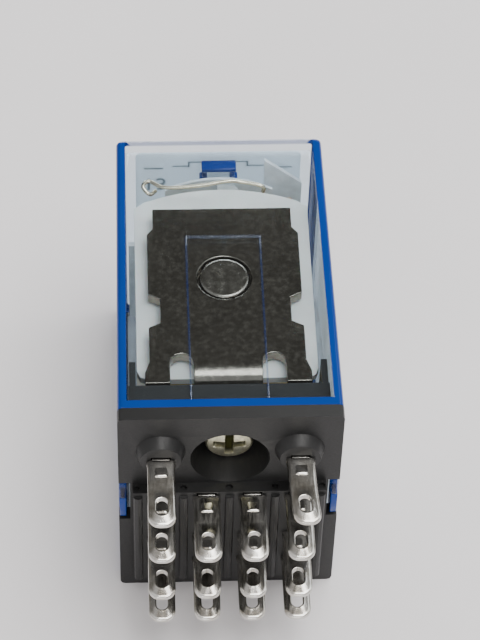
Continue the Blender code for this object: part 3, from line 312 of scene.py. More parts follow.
def finished_copy(node, name, material, edge_round, segments=2, body=STILL, slot=None):
    """A CAD node's solid with its triangles merged into whole faces and its edges rounded."""
    shape = bmesh.new()
    shape.from_mesh(frame["nodes"][node].data)
    bmesh.ops.remove_doubles(shape, verts=shape.verts, dist=0.002 * MM)
    bmesh.ops.dissolve_limit(shape, angle_limit=math.radians(2), verts=shape.verts, edges=shape.edges)
    mesh = bpy.data.meshes.new(name)
    shape.to_mesh(mesh)
    shape.free()
    mesh.shade_smooth()
    mesh.set_sharp_from_angle(angle=math.radians(32))
    piece = place_piece(name, mesh, material, body=body, nodes=(node,), slot=slot)
    bevel = piece.modifiers.new("edge round", "BEVEL")
    bevel.width = edge_round
    bevel.segments = segments
    bevel.limit_method = "ANGLE"
    bevel.angle_limit = math.radians(32)
    bevel.use_clamp_overlap = True
    bevel.harden_normals = True
    return piece


def dress_node(node, material):
    """Gives a CAD node that stays as it is its new material."""
    thing = frame["nodes"][node]
    for holder in thing.material_slots:
        holder.material = material


# Outlines and surfaces.


def round_rectangle(low_a, high_a, low_b, high_b, radius, steps=6):
    """Points round a rectangle, anticlockwise from its lower right: a quarter circle at each corner."""
    turn = np.linspace(-np.pi / 2, 0, steps + 1)[None, :] + np.arange(4)[:, None] * np.pi / 2
    centre_a = np.array([high_a, high_a, low_a, low_a]) + radius * np.array([-1, -1, 1, 1])
    centre_b = np.array([low_b, high_b, high_b, low_b]) + radius * np.array([1, -1, -1, 1])
    first = centre_a[:, None] + radius * np.cos(turn)
    second = centre_b[:, None] + radius * np.sin(turn)
    return np.stack([first, second], axis=-1).reshape(-1, 2)


def stand(outline, axis, along):
    """A flat outline as points in space, square to the axis at one place along it."""
    outline = np.asarray(outline)
    level = np.broadcast_to(along, len(outline))
    columns = {
        "X": (level, outline[:, 0], outline[:, 1]),
        "Y": (outline[:, 0], level, outline[:, 1]),
        "Z": (outline[:, 0], outline[:, 1], level),
    }[axis]
    return np.stack(columns, axis=-1)


def round_bar(low, high, edge, axis="Y"):
    """A box with round long edges and eased ends: round rectangles carried along an axis."""
    low, high = np.asarray(low, float), np.asarray(high, float)
    along = "XYZ".index(axis)
    first, second = [index for index in range(3) if index != along]
    inset = np.array([edge, edge * 0.3, 0.0, 0.0, edge * 0.3, edge])
    reach = [low[along], low[along] + edge * 0.3, low[along] + edge]
    reach += [high[along] - edge, high[along] - edge * 0.3, high[along]]
    rings = []
    for place, step in zip(reach, inset):
        outline = round_rectangle(
            low[first] + step, high[first] - step, low[second] + step, high[second] - step, edge, 3
        )
        rings.append(stand(outline, axis, place))
    return skin(rings)


def unit_circle(sides):
    """Even points round a circle of radius 1, as the cosine and sine of each angle."""
    angle = np.linspace(0, 2 * np.pi, sides, endpoint=False)
    return np.column_stack([np.cos(angle), np.sin(angle)])


def turned(profile, centre, axis, sides=72):
    """A solid of revolution: each (radius, along) pair of the profile is a circle about the axis."""
    profile = np.asarray(profile, float)
    circle = unit_circle(sides)
    return skin([stand(centre + radius * circle, axis, along) for radius, along in profile])


def smooth_route(points, steps=6):
    """Points along a Catmull-Rom curve through given points: each span is a cubic of four of them."""
    points = np.asarray(points, float)
    points = np.vstack([2 * points[0] - points[1], points, 2 * points[-1] - points[-2]])
    before, start, end, after = points[:-3], points[1:-2], points[2:-1], points[3:]
    t = (np.arange(steps) / steps)[None, :, None]
    before, start, end, after = (part[:, None, :] for part in (before, start, end, after))
    curve = 2 * start + (end - before) * t
    curve = curve + (2 * before - 5 * start + 4 * end - after) * t**2
    curve = curve + (3 * start - before - 3 * end + after) * t**3
    return np.vstack([(curve / 2).reshape(-1, 3), points[-2:-1]])


def tube(route, radius, sides=12, lobes=0, lobe_depth=0.0, pitch=None):
    """A tube along a route. With lobes, its radius swells that many times round, and the swellings wind with
    the pitch, like the strands of a lead.

    Each ring lies across the route, and its frame is the last one's less its part along the route."""
    route = np.asarray(route, float)
    forward = np.gradient(route, axis=0)
    forward /= np.linalg.norm(forward, axis=1)[:, None]
    run = np.concatenate([[0.0], np.cumsum(np.linalg.norm(np.diff(route, axis=0), axis=1))])
    side = np.cross(forward[0], [0.3, 0.5, 0.8])
    angle = np.linspace(0, 2 * np.pi, sides, endpoint=False)
    rings = []
    for place, ahead, length in zip(route, forward, run):
        side = side - ahead * np.dot(side, ahead)
        side = side / np.linalg.norm(side)
        across = np.cross(ahead, side)
        twist = 2 * np.pi * length / pitch if pitch else 0.0
        swell = radius * (1 - lobe_depth * (0.5 - 0.5 * np.cos(lobes * (angle - twist))))
        ring = (np.cos(angle) * swell)[:, None] * side + (np.sin(angle) * swell)[:, None] * across
        rings.append(place + ring)
    return skin(rings)


# Materials.


COLOURS = {"data_type": "RGBA"}
COLOUR_RESULT = 2
WHITE = (1.0, 1.0, 1.0, 1.0)
# How far the wave texture turns over one unit of its coordinate.
WAVE_RADIANS = 20


def per(millimetres):
    """The scale of a pattern whose repeat has this real size, on coordinates in metres."""
    return 1.0 / (millimetres * MM)


def shaded(colour, factor, lift=0.0):
    """A colour made darker or lighter by a factor, with a little added, and full alpha."""
    return solid(tuple(min(1.0, value * factor + lift) for value in colour))


def add_node(tree, kind, output, settings=None, to=None, **inputs):
    """Adds a node and gives back one of its outputs, which is also linked to the socket that to names.

    settings are the node's own properties. An input is a value or another node's output, and its name has
    the socket's spaces as underscores, or is i with the socket's number."""
    node = tree.nodes.new(kind)
    for name, value in (settings or {}).items():
        setattr(node, name, value)
    for name, value in inputs.items():
        key = int(name[1:]) if name[0] == "i" and name[1:].isdigit() else name.replace("_", " ")
        socket = node.inputs[key]
        if isinstance(value, bpy.types.NodeSocket):
            tree.links.new(value, socket)
        else:
            socket.default_value = value
    if to is not None:
        tree.links.new(node.outputs[output], to)
    return node.outputs[output]


def start_material(name, **inputs):
    """A new material with its output, its Principled shader with these inputs, and the object's own
    coordinates."""
    material = bpy.data.materials.new(name)
    material.use_nodes = True
    tree = material.node_tree
    shader = tree.nodes["Principled BSDF"]
    for key, value in inputs.items():
        shader.inputs[key.replace("_", " ")].default_value = value
    place = add_node(tree, "ShaderNodeTexCoord", "Object")
    return material, tree, shader, place


def surface_of(tree):
    return tree.nodes["Material Output"].inputs["Surface"]


def patches(tree, place, millimetres, low=0.35, high=0.7, bare=0.0, full=1.0, detail=3.0, roughness=0.5):
    """Patches of a real size: cloudy noise that gives bare up to one level, full from another level on, and
    the levels between them in proportion."""
    cloud = add_node(
        tree, "ShaderNodeTexNoise", "Fac", Vector=place, Scale=per(millimetres), Detail=detail,
        Roughness=roughness,
    )
    return add_node(
        tree, "ShaderNodeMapRange", "Result", Value=cloud, From_Min=low, From_Max=high, To_Min=bare,
        To_Max=full,
    )


def texture_surface(tree, shader, grain, smooth, rough, depth_mm, strength):
    """A fine texture: the grain is the surface's height, over a real depth, and its heights are rougher than
    its hollows."""
    add_node(
        tree, "ShaderNodeMapRange", "Result", to=shader.inputs["Roughness"], Value=grain, From_Min=0.3,
        From_Max=0.7, To_Min=smooth, To_Max=rough,
    )
    add_node(
        tree, "ShaderNodeBump", "Normal", to=shader.inputs["Normal"], Height=grain, Distance=depth_mm * MM,
        Strength=strength,
    )


def ripple_surface(tree, shader, place, millimetres, detail, depth_mm, strength=1.0):
    """Slow ripples of a real length and depth, from cloudy noise taken as the surface's height."""
    ripple = add_node(
        tree, "ShaderNodeTexNoise", "Fac", Vector=place, Scale=per(millimetres), Detail=detail
    )
    add_node(
        tree, "ShaderNodeBump", "Normal", to=shader.inputs["Normal"], Height=ripple, Distance=depth_mm * MM,
        Strength=strength,
    )


MIRROR_SQUARE_ON = 0.045
MIRROR_AT_A_GLANCE = 0.4


def clear_polycarbonate(settings):
    """Injection-moulded blue polycarbonate, polished: clear square on, with a mirror's gloss, and painted deep
    blue wherever the eye looks along a wall, standing in for the light that passes along the wall's length. A
    mark on the points says where that is painted."""
    material, tree, shader, place = start_material(
        "moulded clear blue polycarbonate", Roughness=0.12, IOR=1.58, Specular_IOR_Level=0.25
    )
    # The share of painted deep blue at each point, standing in for light that passes along the wall's length.
    tint = add_node(tree, "ShaderNodeAttribute", "Fac", {"attribute_name": "painted_edge_blue"})
    cloud = add_node(tree, "ShaderNodeTexNoise", "Fac", Vector=place, Scale=per(6.0), Detail=2.0)
    add_node(
        tree, "ShaderNodeMix", COLOUR_RESULT, COLOURS, shader.inputs["Base Color"], i0=cloud,
        i6=solid(settings.edge_blue), i7=shaded(settings.edge_blue, 1.15, 0.004),
    )
    ripple_surface(tree, shader, place, 3.5, 1.0, 0.004)
    through = add_node(tree, "ShaderNodeBsdfTransparent", "BSDF", Color=solid(settings.panel_tint))
    gloss = add_node(tree, "ShaderNodeBsdfGlossy", "BSDF", Color=WHITE, Roughness=0.04)
    slant = add_node(tree, "ShaderNodeLayerWeight", "Facing", Blend=0.5)
    steep = add_node(tree, "ShaderNodeMath", "Value", {"operation": "POWER"}, i0=slant, i1=5.0)
    # The share mirrored at a glance is held under the plastic's real one, so that the walls stay pale inside.
    mirror = add_node(
        tree, "ShaderNodeMapRange", "Result", Value=steep, To_Min=MIRROR_SQUARE_ON,
        To_Max=MIRROR_AT_A_GLANCE,
    )
    panel = add_node(tree, "ShaderNodeMixShader", "Shader", i0=mirror, i1=through, i2=gloss)
    add_node(
        tree, "ShaderNodeMixShader", "Shader", to=surface_of(tree), i0=tint, i1=panel,
        i2=shader.outputs["BSDF"],
    )
    return material


def black_phenolic(settings):
    """Compression-moulded black phenolic: grey-black, half matt, with a fine tool texture and dust that
    lightens it here and there."""
    material, tree, shader, place = start_material(
        "moulded black phenolic", IOR=1.55, Specular_IOR_Level=0.3
    )
    dust = patches(tree, place, 2.5, 0.5, 0.8, full=0.35, detail=5.0, roughness=0.65)
    add_node(
        tree, "ShaderNodeMix", COLOUR_RESULT, COLOURS, shader.inputs["Base Color"], i0=dust,
        i6=solid(settings.colour), i7=shaded(settings.colour, 1.6, 0.004),
    )
    grain = add_node(
        tree, "ShaderNodeTexNoise", "Fac", Vector=place, Scale=per(0.16), Detail=3.0, Roughness=0.6
    )
    texture_surface(tree, shader, grain, 0.36, 0.52, 0.012, 0.6)
    return material


def nickel_steel(name, colour, roughness, grain_mm=0.45):
    """Cold-rolled steel, pressed and plated with dull nickel: a warm grey metal whose plating carries the
    strip's fine pits, with a few duller stains."""
    material, tree, shader, place = start_material(name, Metallic=1.0)
    stain = patches(tree, place, 3.2, 0.42, 0.72, full=0.75, detail=4.0, roughness=0.6)
    speck = patches(tree, place, grain_mm, 0.48, 0.72, full=0.4, roughness=0.6)
    ground = add_node(
        tree, "ShaderNodeMix", COLOUR_RESULT, COLOURS, i0=stain, i6=solid(colour), i7=shaded(colour, 0.6)
    )
    add_node(
        tree, "ShaderNodeMix", COLOUR_RESULT, COLOURS, shader.inputs["Base Color"], i0=speck, i6=ground,
        i7=shaded(colour, 1.7),
    )
    pits = add_node(tree, "ShaderNodeTexNoise", "Fac", Vector=place, Scale=per(grain_mm), Detail=2.0)
    texture_surface(tree, shader, pits, roughness - 0.04, roughness + 0.06, 0.004, 0.5)
    return material


def tinned_brass(settings):
    """Stamped brass strip, dipped in tin: bright and soft, with slow ripples where the tin flowed and fine
    scratches along the blade from the socket's springs."""
    material, tree, shader, place = start_material("hot-dipped tinned brass", Metallic=1.0)
    flow = add_node(tree, "ShaderNodeTexNoise", "Fac", Vector=place, Scale=per(1.1), Detail=3.0)
    worn = solid(tuple(value * factor for value, factor in zip(settings.tin, (0.72, 0.7, 0.66))))
    cloud = add_node(tree, "ShaderNodeMapRange", "Result", Value=flow, From_Min=0.4, From_Max=0.7)
    add_node(
        tree, "ShaderNodeMix", COLOUR_RESULT, COLOURS, shader.inputs["Base Color"], i0=cloud,
        i6=solid(settings.tin), i7=worn,
    )
    drawn_out = add_node(tree, "ShaderNodeMapping", "Vector", Vector=place, Scale=(1.0, 0.08, 1.0))
    scratch = add_node(
        tree, "ShaderNodeTexNoise", "Fac", Vector=drawn_out, Scale=per(0.12), Detail=3.0, Roughness=0.6
    )
    add_node(
        tree, "ShaderNodeMapRange", "Result", to=shader.inputs["Roughness"], Value=scratch, From_Min=0.35,
        From_Max=0.65, To_Min=0.14, To_Max=0.24,
    )
    height = add_node(
        tree, "ShaderNodeMath", "Value", {"operation": "MULTIPLY_ADD"}, i0=flow, i1=4.0, i2=scratch
    )
    add_node(
        tree, "ShaderNodeBump", "Normal", to=shader.inputs["Normal"], Height=height, Distance=0.002 * MM,
        Strength=0.7,
    )
    return material


def plain_metal(name, colour, roughness, grain_mm, along=(1.0, 1.0, 1.0), bump_mm=0.006):
    """A bright metal whose fine grain runs one way, as drawing, rolling or turning leaves it."""
    material, tree, shader, place = start_material(name, Metallic=1.0)
    drawn_out = add_node(tree, "ShaderNodeMapping", "Vector", Vector=place, Scale=along)
    grain = add_node(
        tree, "ShaderNodeTexNoise", "Fac", Vector=drawn_out, Scale=per(grain_mm), Detail=3.0, Roughness=0.6
    )
    share = add_node(tree, "ShaderNodeMapRange", "Result", Value=grain, From_Min=0.35, From_Max=0.7)
    add_node(
        tree, "ShaderNodeMix", COLOUR_RESULT, COLOURS, shader.inputs["Base Color"], i0=share,
        i6=solid(colour), i7=shaded(colour, 0.72),
    )
    texture_surface(tree, shader, grain, roughness - 0.06, roughness + 0.1, bump_mm, 0.6)
    return material


def zinc_plate(settings):
    """Turned steel with yellow-passivated zinc. The mark recess says where the driver's cross is; there the
    colour is painted darker, as painted shade in the recess together with old grease, and the surface is
    duller."""
    material, tree, shader, place = start_material("yellow-passivated zinc plate", Metallic=1.0)
    recess_shade_and_grease = add_node(tree, "ShaderNodeAttribute", "Fac", {"attribute_name": "recess"})
    cloud = patches(tree, place, 0.5, 0.4, 0.7, roughness=0.6)
    plate = add_node(
        tree, "ShaderNodeMix", COLOUR_RESULT, COLOURS, i0=cloud, i6=solid(settings.zinc),
        i7=shaded(settings.zinc, 0.7),
    )
    # Darker in the cross: painted shade in the recess, with old grease.
    add_node(
        tree, "ShaderNodeMix", COLOUR_RESULT, COLOURS, shader.inputs["Base Color"], i0=recess_shade_and_grease, i6=plate,
        i7=solid(settings.recess_shade_and_grease),
    )
    add_node(
        tree, "ShaderNodeMapRange", "Result", to=shader.inputs["Roughness"], Value=recess_shade_and_grease, To_Min=0.32,
        To_Max=0.6,
    )
    return material


def white_nylon(settings):
    """Moulded natural nylon: warm white, waxy, with light going a little way in."""
    material, tree, shader, place = start_material(
        "moulded white nylon", Roughness=0.42, IOR=1.53, Subsurface_Weight=0.15, Subsurface_Scale=0.4 * MM
    )
    add_node(
        tree, "ShaderNodeMix", COLOUR_RESULT, COLOURS, shader.inputs["Base Color"],
        i0=patches(tree, place, 3.0), i6=solid(settings.nylon), i7=shaded(settings.nylon, 0.86),
    )
    ripple_surface(tree, shader, place, 0.3, 3.0, 0.008, 0.5)
    return material


def lacquered(name, colour, roughness, ripple_mm=0.6, shade=0.8):
    """A smooth coated or plastic surface with a slow change of shade and a faint ripple."""
    material, tree, shader, place = start_material(name, Roughness=roughness)
    add_node(
        tree, "ShaderNodeMix", COLOUR_RESULT, COLOURS, shader.inputs["Base Color"],
        i0=patches(tree, place, ripple_mm * 4), i6=solid(colour), i7=shaded(colour, shade),
    )
    ripple_surface(tree, shader, place, ripple_mm, 2.0, 0.005, 0.5)
    return material


def label_film(settings):
    """Printed white polyester film: matt, and pale from behind because some light comes through it."""
    material, tree, shader, place = start_material("printed polyester label", Roughness=0.45)
    colour = add_node(
        tree, "ShaderNodeMix", COLOUR_RESULT, COLOURS, shader.inputs["Base Color"],
        i0=patches(tree, place, 6.0), i6=solid(settings.paper), i7=shaded(settings.paper, 0.94),
    )
    lit = add_node(tree, "ShaderNodeBsdfTranslucent", "BSDF", Color=colour)
    add_node(
        tree, "ShaderNodeMixShader", "Shader", to=surface_of(tree), i0=0.65, i1=shader.outputs["BSDF"], i2=lit
    )
    return material


def wound_copper(settings):
    """Enamelled copper wire laid in close turns, as ridges up the winding. The real wire is too fine to
    show, so its ridges are drawn coarser: a band repeats after 2 pi times the length given here, 0.94 mm."""
    material, tree, shader, place = start_material(
        "enamelled copper winding", Metallic=1.0, Roughness=0.32
    )
    turns = add_node(
        tree, "ShaderNodeTexWave", "Fac", {"wave_type": "BANDS", "bands_direction": "Z"}, Vector=place,
        Scale=per(0.15) / WAVE_RADIANS, Distortion=0.6,
    )
    # The hollows between the ridges are painted darker: painted shade between the turns.
    add_node(
        tree, "ShaderNodeMix", COLOUR_RESULT, COLOURS, shader.inputs["Base Color"], i0=turns,
        i6=shaded(settings.wire, 0.35), i7=solid(settings.wire),
    )
    add_node(
        tree, "ShaderNodeBump", "Normal", to=shader.inputs["Normal"], Height=turns, Distance=0.05 * MM,
        Strength=0.8,
    )
    return material


def milky_film(name, tint, cover, roughness):
    """Clear plastic film that has gone milky: much of the light goes through, the rest scatters white."""
    material, tree, shader, place = start_material(
        name, Base_Color=solid(linear(tint)), Roughness=roughness, IOR=1.5
    )
    through = add_node(tree, "ShaderNodeBsdfTransparent", "BSDF", Color=(0.94, 0.97, 1.0, 1.0))
    haze = patches(tree, place, 2.0, 0.3, 0.7, cover * 0.8, cover * 1.2)
    add_node(
        tree, "ShaderNodeMixShader", "Shader", to=surface_of(tree), i0=haze, i1=through,
        i2=shader.outputs["BSDF"],
    )
    return material


def banded_resistor(settings):
    """Carbon-film resistor dipped in beige lacquer, with painted colour bands round it."""
    material, tree, shader, place = start_material("lacquered carbon-film resistor", Roughness=0.3)
    along = add_node(tree, "ShaderNodeSeparateXYZ", "X", Vector=place)
    stripe = add_node(tree, "ShaderNodeMath", "Value", {"operation": "PINGPONG"}, i0=along, i1=0.32 * MM)
    painted = add_node(
        tree, "ShaderNodeMapRange", "Result", Value=stripe, From_Min=0.17 * MM, From_Max=0.19 * MM
    )
    add_node(
        tree, "ShaderNodeMix", COLOUR_RESULT, COLOURS, shader.inputs["Base Color"], i0=painted,
        i6=solid(settings.lacquer), i7=solid(settings.bands),
    )
    ripple_surface(tree, shader, place, 0.5, 2.0, 0.01, 0.5)
    return material


def bench_top(settings):
    """Pale laminate bench: nearly even, matt, with the faintest mottling."""
    material, tree, shader, place = start_material("pale laminate bench", Roughness=0.6)
    add_node(
        tree, "ShaderNodeMix", COLOUR_RESULT, COLOURS, shader.inputs["Base Color"],
        i0=patches(tree, place, 60.0, high=0.65, detail=4.0), i6=solid(settings.bench),
        i7=shaded(settings.bench, 0.95),
    )
    return material


# The cover.


def cover_half_width(settings, y):
    """The cover's half width, which its draft narrows in a straight line to the far end."""
    return HALF_WIDTH - settings.side_draft * (y - RIM_Y) / (END_Y - RIM_Y)


def cover_top(settings, y):
    """The height of the cover's upper face, which its draft lowers in a straight line to the far end."""
    return HEIGHT - settings.top_draft * (y - RIM_Y) / (END_Y - RIM_Y)


STEP = 0.03 * MM
BAND_FADE = 0.1 * MM
RIM_EASE = 0.08 * MM
CORNER_STEPS = 6
# The far upper edge between the corners gets only this share of the painted deep blue.
FAR_EDGE_PAINTED_BLUE = 0.3


def side_marks(length, corner, places):
    """Shares of a side's straight run at these distances from both of its ends, with the middle."""
    shares = (np.asarray(places) - corner) / (length - 2 * corner)
    return np.concatenate([shares, [0.5], 1 - shares[::-1]])


class CoverRings:
    """Makes the cover's rings: round rectangles across Y whose sides carry points where the painted deep blue
    band and the label seats begin and end, with the share of painted deep blue at each point. The deep blue
    stands in for light passing along the walls."""

    def __init__(self, settings):
        self.settings = settings
        band = settings.band
        label_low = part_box("left_label")[0][2]
        self.width_marks = side_marks(2 * HALF_WIDTH, settings.corner, [band, band + BAND_FADE])
        up_places = [band, band + BAND_FADE, label_low - SHOULDER_GAP - STEP, label_low - SHOULDER_GAP]
        self.height_marks = side_marks(HEIGHT, settings.corner, up_places)
        seat = np.abs(self.height_marks - 0.5) <= 0.5 - self.height_marks[3] + 1e-9
        corners = np.ones(CORNER_STEPS + 1)
        wide = (np.abs(self.width_marks - 0.5) > 0.5 - self.width_marks[1] + 1e-9).astype(float)
        tall = (np.abs(self.height_marks - 0.5) > 0.5 - self.height_marks[1] + 1e-9).astype(float)
        self.seat = seat.astype(float)
        self.tint = np.concatenate([corners, tall, corners, wide] * 2)
        upright, across = np.ones_like(tall), np.ones_like(wide)
        upper = np.where(wide > 0, 1.0, FAR_EDGE_PAINTED_BLUE)
        self.far_painted_blue = np.concatenate([corners, upright, corners, upper, corners, upright, corners, across])
        self.rings, self.painted_blues = [], []

    def add(self, y, half, low, high, corner, level_painted_blue, side_seat=0.0, own_painted_blue=True):
        corners = round_rectangle(-half, half, low, high, corner, CORNER_STEPS).reshape(4, -1, 2)
        up = low + corner + (high - low - 2 * corner) * self.height_marks
        across = (half - corner) * (1 - 2 * self.width_marks)
        pressed = side_seat * self.seat
        right = np.column_stack([half - pressed, up])
        top = np.column_stack([across, np.full_like(across, high)])
        left = np.column_stack([-half + pressed[::-1], up[::-1]])
        bottom = np.column_stack([-across, np.full_like(across, low)])
        outline = np.vstack([corners[0], right, corners[1], top, corners[2], left, corners[3], bottom])
        self.rings.append(stand(outline, "Y", y))
        around = self.tint if own_painted_blue else np.zeros_like(self.tint)
        self.painted_blues.append(np.maximum(around, level_painted_blue))

    def wall(self, y, inset, corner, level_painted_blue, side_seat=0.0, own_painted_blue=True):
        half = cover_half_width(self.settings, y) - inset
        self.add(y, half, inset, cover_top(self.settings, y) - inset, corner, level_painted_blue, side_seat, own_painted_blue)


def cover_rings(settings):
    """The cover's skin as rings: the inner end, up the inner wall, over the rim, down the outer wall, round
    the edge of the far end and across it to the end label's seat."""
    made = CoverRings(settings)
    wall, band, corner = settings.wall, settings.band, settings.corner
    inner_end = END_Y - settings.end_wall
    inner_corner = corner / 2
    label_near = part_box("left_label")[0][1] - SHOULDER_GAP
    label_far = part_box("left_label")[1][1] + SHOULDER_GAP
    fillet = 0.25 * MM
    made.wall(inner_end, wall + fillet, inner_corner, 0.0, own_painted_blue=False)
    made.wall(inner_end - fillet * 0.3, wall + fillet * 0.3, inner_corner, 0.0, own_painted_blue=False)
    made.wall(inner_end - fillet, wall, inner_corner, 0.0, own_painted_blue=False)
    made.wall(RIM_Y + band * 0.5, wall, inner_corner, 0.0, own_painted_blue=False)
    made.wall(RIM_Y + RIM_EASE, wall, inner_corner, 0.6, own_painted_blue=False)
    made.wall(RIM_Y, wall - RIM_EASE, inner_corner, 1.0)
    made.wall(RIM_Y, RIM_EASE, corner, 1.0)
    made.wall(RIM_Y + RIM_EASE, 0.0, corner, 1.0)
    made.wall(RIM_Y + band, 0.0, corner, 1.0)
    made.wall(RIM_Y + band + BAND_FADE, 0.0, corner, 0.0)
    made.wall(label_near - STEP, 0.0, corner, 0.0)
    made.wall(label_near, 0.0, corner, 0.0, settings.label_recess)
    made.wall(label_far, 0.0, corner, 0.0, settings.label_recess)
    made.wall(label_far + STEP, 0.0, corner, 0.0)
    made.wall(END_Y - band - BAND_FADE, 0.0, corner, 0.0)
    made.wall(END_Y - band, 0.0, corner, made.far_painted_blue, own_painted_blue=False)
    for angle in np.linspace(0, math.pi / 2, 5):
        inset = settings.end_edge * (1 - math.cos(angle))
        y = END_Y - settings.end_edge * (1 - math.sin(angle))
        made.wall(y, inset, corner - inset * 0.5, made.far_painted_blue, own_painted_blue=False)
    end_corner = corner / 2
    made.wall(END_Y, band, end_corner, made.far_painted_blue, own_painted_blue=False)
    made.wall(END_Y, band + BAND_FADE, end_corner, 0.0, own_painted_blue=False)
    low, high = span("end_label")
    half = high[0] + SHOULDER_GAP
    bounds = (low[2] - SHOULDER_GAP, high[2] + SHOULDER_GAP)
    small = 0.1 * MM
    made.add(END_Y, half + STEP, bounds[0] - STEP, bounds[1] + STEP, small, 0.0, own_painted_blue=False)
    made.add(END_Y - settings.label_recess, half, *bounds, small, 0.0, own_painted_blue=False)
    return made.rings, made.painted_blues


def marked(part, tint):
    """A surface with one share of painted deep blue at all its points."""
    return part, np.full(len(part[0]), tint)


def crown_parts(settings):
    """The moulded crown inside the far end: a clear block, with a bar on top and a block at each lower corner
    in painted deep blue."""
    inner_end = END_Y - settings.end_wall
    near = inner_end - 1.1 * MM
    far = inner_end + 0.1 * MM
    top = cover_top(settings, END_Y) - 2.4 * MM
    foot = top - 3.0 * MM
    parts = [marked(round_bar((-1.65 * MM, near, foot), (1.65 * MM, far, top), 0.15 * MM), 0.12)]
    bar_low = (-1.75 * MM, near - 0.1 * MM, top - 0.45 * MM)
    parts.append(marked(round_bar(bar_low, (1.75 * MM, far, top + 0.05 * MM), 0.12 * MM), 1.0))
    for side in (-1, 1):
        inner, outer = side * 1.15 * MM, side * 1.95 * MM
        low = (min(inner, outer), near - 0.05 * MM, foot)
        parts.append(marked(round_bar(low, (max(inner, outer), far, foot + 1.3 * MM), 0.12 * MM), 1.0))
    return parts


def panel_frame_parts(settings):
    """A low moulded frame under the cover's upper face, and the round mark of the gate."""
    near, far = UNDERSIDE_Y + 2.6 * MM, UNDERSIDE_Y + 22.9 * MM
    half, bar = 3.65 * MM, 0.09 * MM
    under = cover_top(settings, far) - settings.wall
    parts = []
    for x in (-half, half):
        low = (x - bar, near, under - 0.05 * MM)
        parts.append(marked(round_bar(low, (x + bar, far, under + 0.2 * MM), 0.04 * MM), 0.14))
    low = (-half, far - bar, under - 0.05 * MM)
    parts.append(marked(round_bar(low, (half, far + bar, under + 0.2 * MM), 0.04 * MM, "X"), 0.08))
    gate = [(0.22, -0.03), (0.3, -0.05), (0.34, 0.0), (0.34, 0.2)]
    gate = [(radius * MM, under + rise * MM) for radius, rise in gate]
    parts.append(marked(turned(gate, np.array([0.1 * MM, UNDERSIDE_Y + 22.5 * MM]), "Z", 32), 0.0))
    return parts


def latch_parts(settings):
    """The two latch tongues that reach past the rim: clear above and painted deep blue below."""
    near, far = COVER_LOW[1], RIM_Y + settings.wall
    low_z, high_z = 11.8 * MM, 17.2 * MM
    split = low_z + (high_z - low_z) * 0.55
    parts = []
    for side in (-1, 1):
        outer = side * (cover_half_width(settings, RIM_Y) - 0.06 * MM)
        inner = side * (cover_half_width(settings, RIM_Y) - settings.wall + 0.06 * MM)
        left, right = min(inner, outer), max(inner, outer)
        edge = 0.1 * MM
        parts.append(marked(round_bar((left, near, low_z), (right, far, split), edge, "Z"), 1.0))
        parts.append(marked(round_bar((left, near, split), (right, far, high_z), edge, "Z"), 0.06))
    return parts


def build_cover(settings):
    rings, painted_blues = cover_rings(settings)
    parts = [(skin(rings), np.concatenate(painted_blues))]
    parts += crown_parts(settings)
    parts += panel_frame_parts(settings)
    parts += latch_parts(settings)
    marks = {"painted_edge_blue": np.concatenate([tint for part, tint in parts])}
    surfaces = [part for part, tint in parts]
    make_piece(
        "clear_cover", surfaces, clear_polycarbonate(settings), marks=marks, nodes=("cover",),
        slot="clear_polycarbonate",
    )


# The labels and their print.


PRINT_HALF = 0.004
PRINT_LIFT = 0.002 * MM


class Print:
    """Flat shapes for one label, laid out in millimetres from its middle and made into one thin mesh."""

    def __init__(self, settings, right, up, origin):
        self.settings = settings
        right, up = Vector(right).normalized(), Vector(up).normalized()
        turn = Matrix((right, up, right.cross(up))).transposed().to_4x4()
        self.place = Matrix.Translation(Vector(origin)) @ turn
        self.parts = []

    def number(self, text, x, y, height=None):
        """A number in the plain built-in lettering, centred on a place."""
        curve = bpy.data.curves.new("number", "FONT")
        curve.body = text
        curve.size = (height or self.settings.number_height) * 1.35
        curve.align_x = "CENTER"
        curve.align_y = "CENTER"
        curve.extrude = PRINT_HALF * MM
        curve.resolution_u = 4
        thing = bpy.data.objects.new("number", curve)
        bpy.context.scene.collection.objects.link(thing)
        mesh = bpy.data.meshes.new_from_object(thing.evaluated_get(bpy.context.evaluated_depsgraph_get()))
        bpy.data.objects.remove(thing, do_unlink=True)
        bpy.data.curves.remove(curve)
        points = np.zeros(len(mesh.vertices) * 3)
        mesh.vertices.foreach_get("co", points)
        faces = [list(face.vertices) for face in mesh.polygons]
        bpy.data.meshes.remove(mesh)
        self.parts.append((points.reshape(-1, 3) + np.array([x * MM, y * MM, 0.0]), faces))

    def line(self, *points):
        """A bent line of one width: a thin bar for each of its runs, with square ends that overlap."""
        half = self.settings.stroke / 2
        for start, end in zip(np.array(points[:-1]) * MM, np.array(points[1:]) * MM):
            ahead = (end - start) / np.linalg.norm(end - start)
            side = np.array([-ahead[1], ahead[0]])
            start, end = start - ahead * half, end + ahead * half
            across = side * half
            outline = np.array([start + across, start - across, end - across, end + across])
            levels = (-PRINT_HALF * MM, PRINT_HALF * MM)
            self.parts.append(skin([stand(outline, "Z", level) for level in levels]))

    def ring(self, x, y, radius):
        """A small circle of one line's width."""
        half = self.settings.stroke / 2
        inner, outer = radius * MM - half, radius * MM + half
        profile = [(inner, -PRINT_HALF), (outer, -PRINT_HALF), (outer, PRINT_HALF), (inner, PRINT_HALF)]
        circle, centre = unit_circle(24), np.array([x, y]) * MM
        self.parts.append(hoop([stand(centre + circle * size, "Z", level * MM) for size, level in profile]))

    def finish(self, name, material):
        turn = np.array(self.place)
        parts = [(points @ turn[:3, :3].T + turn[:3, 3], faces) for points, faces in self.parts]
        return make_piece(name, parts, material, crease=20.0, slot="label_paper")


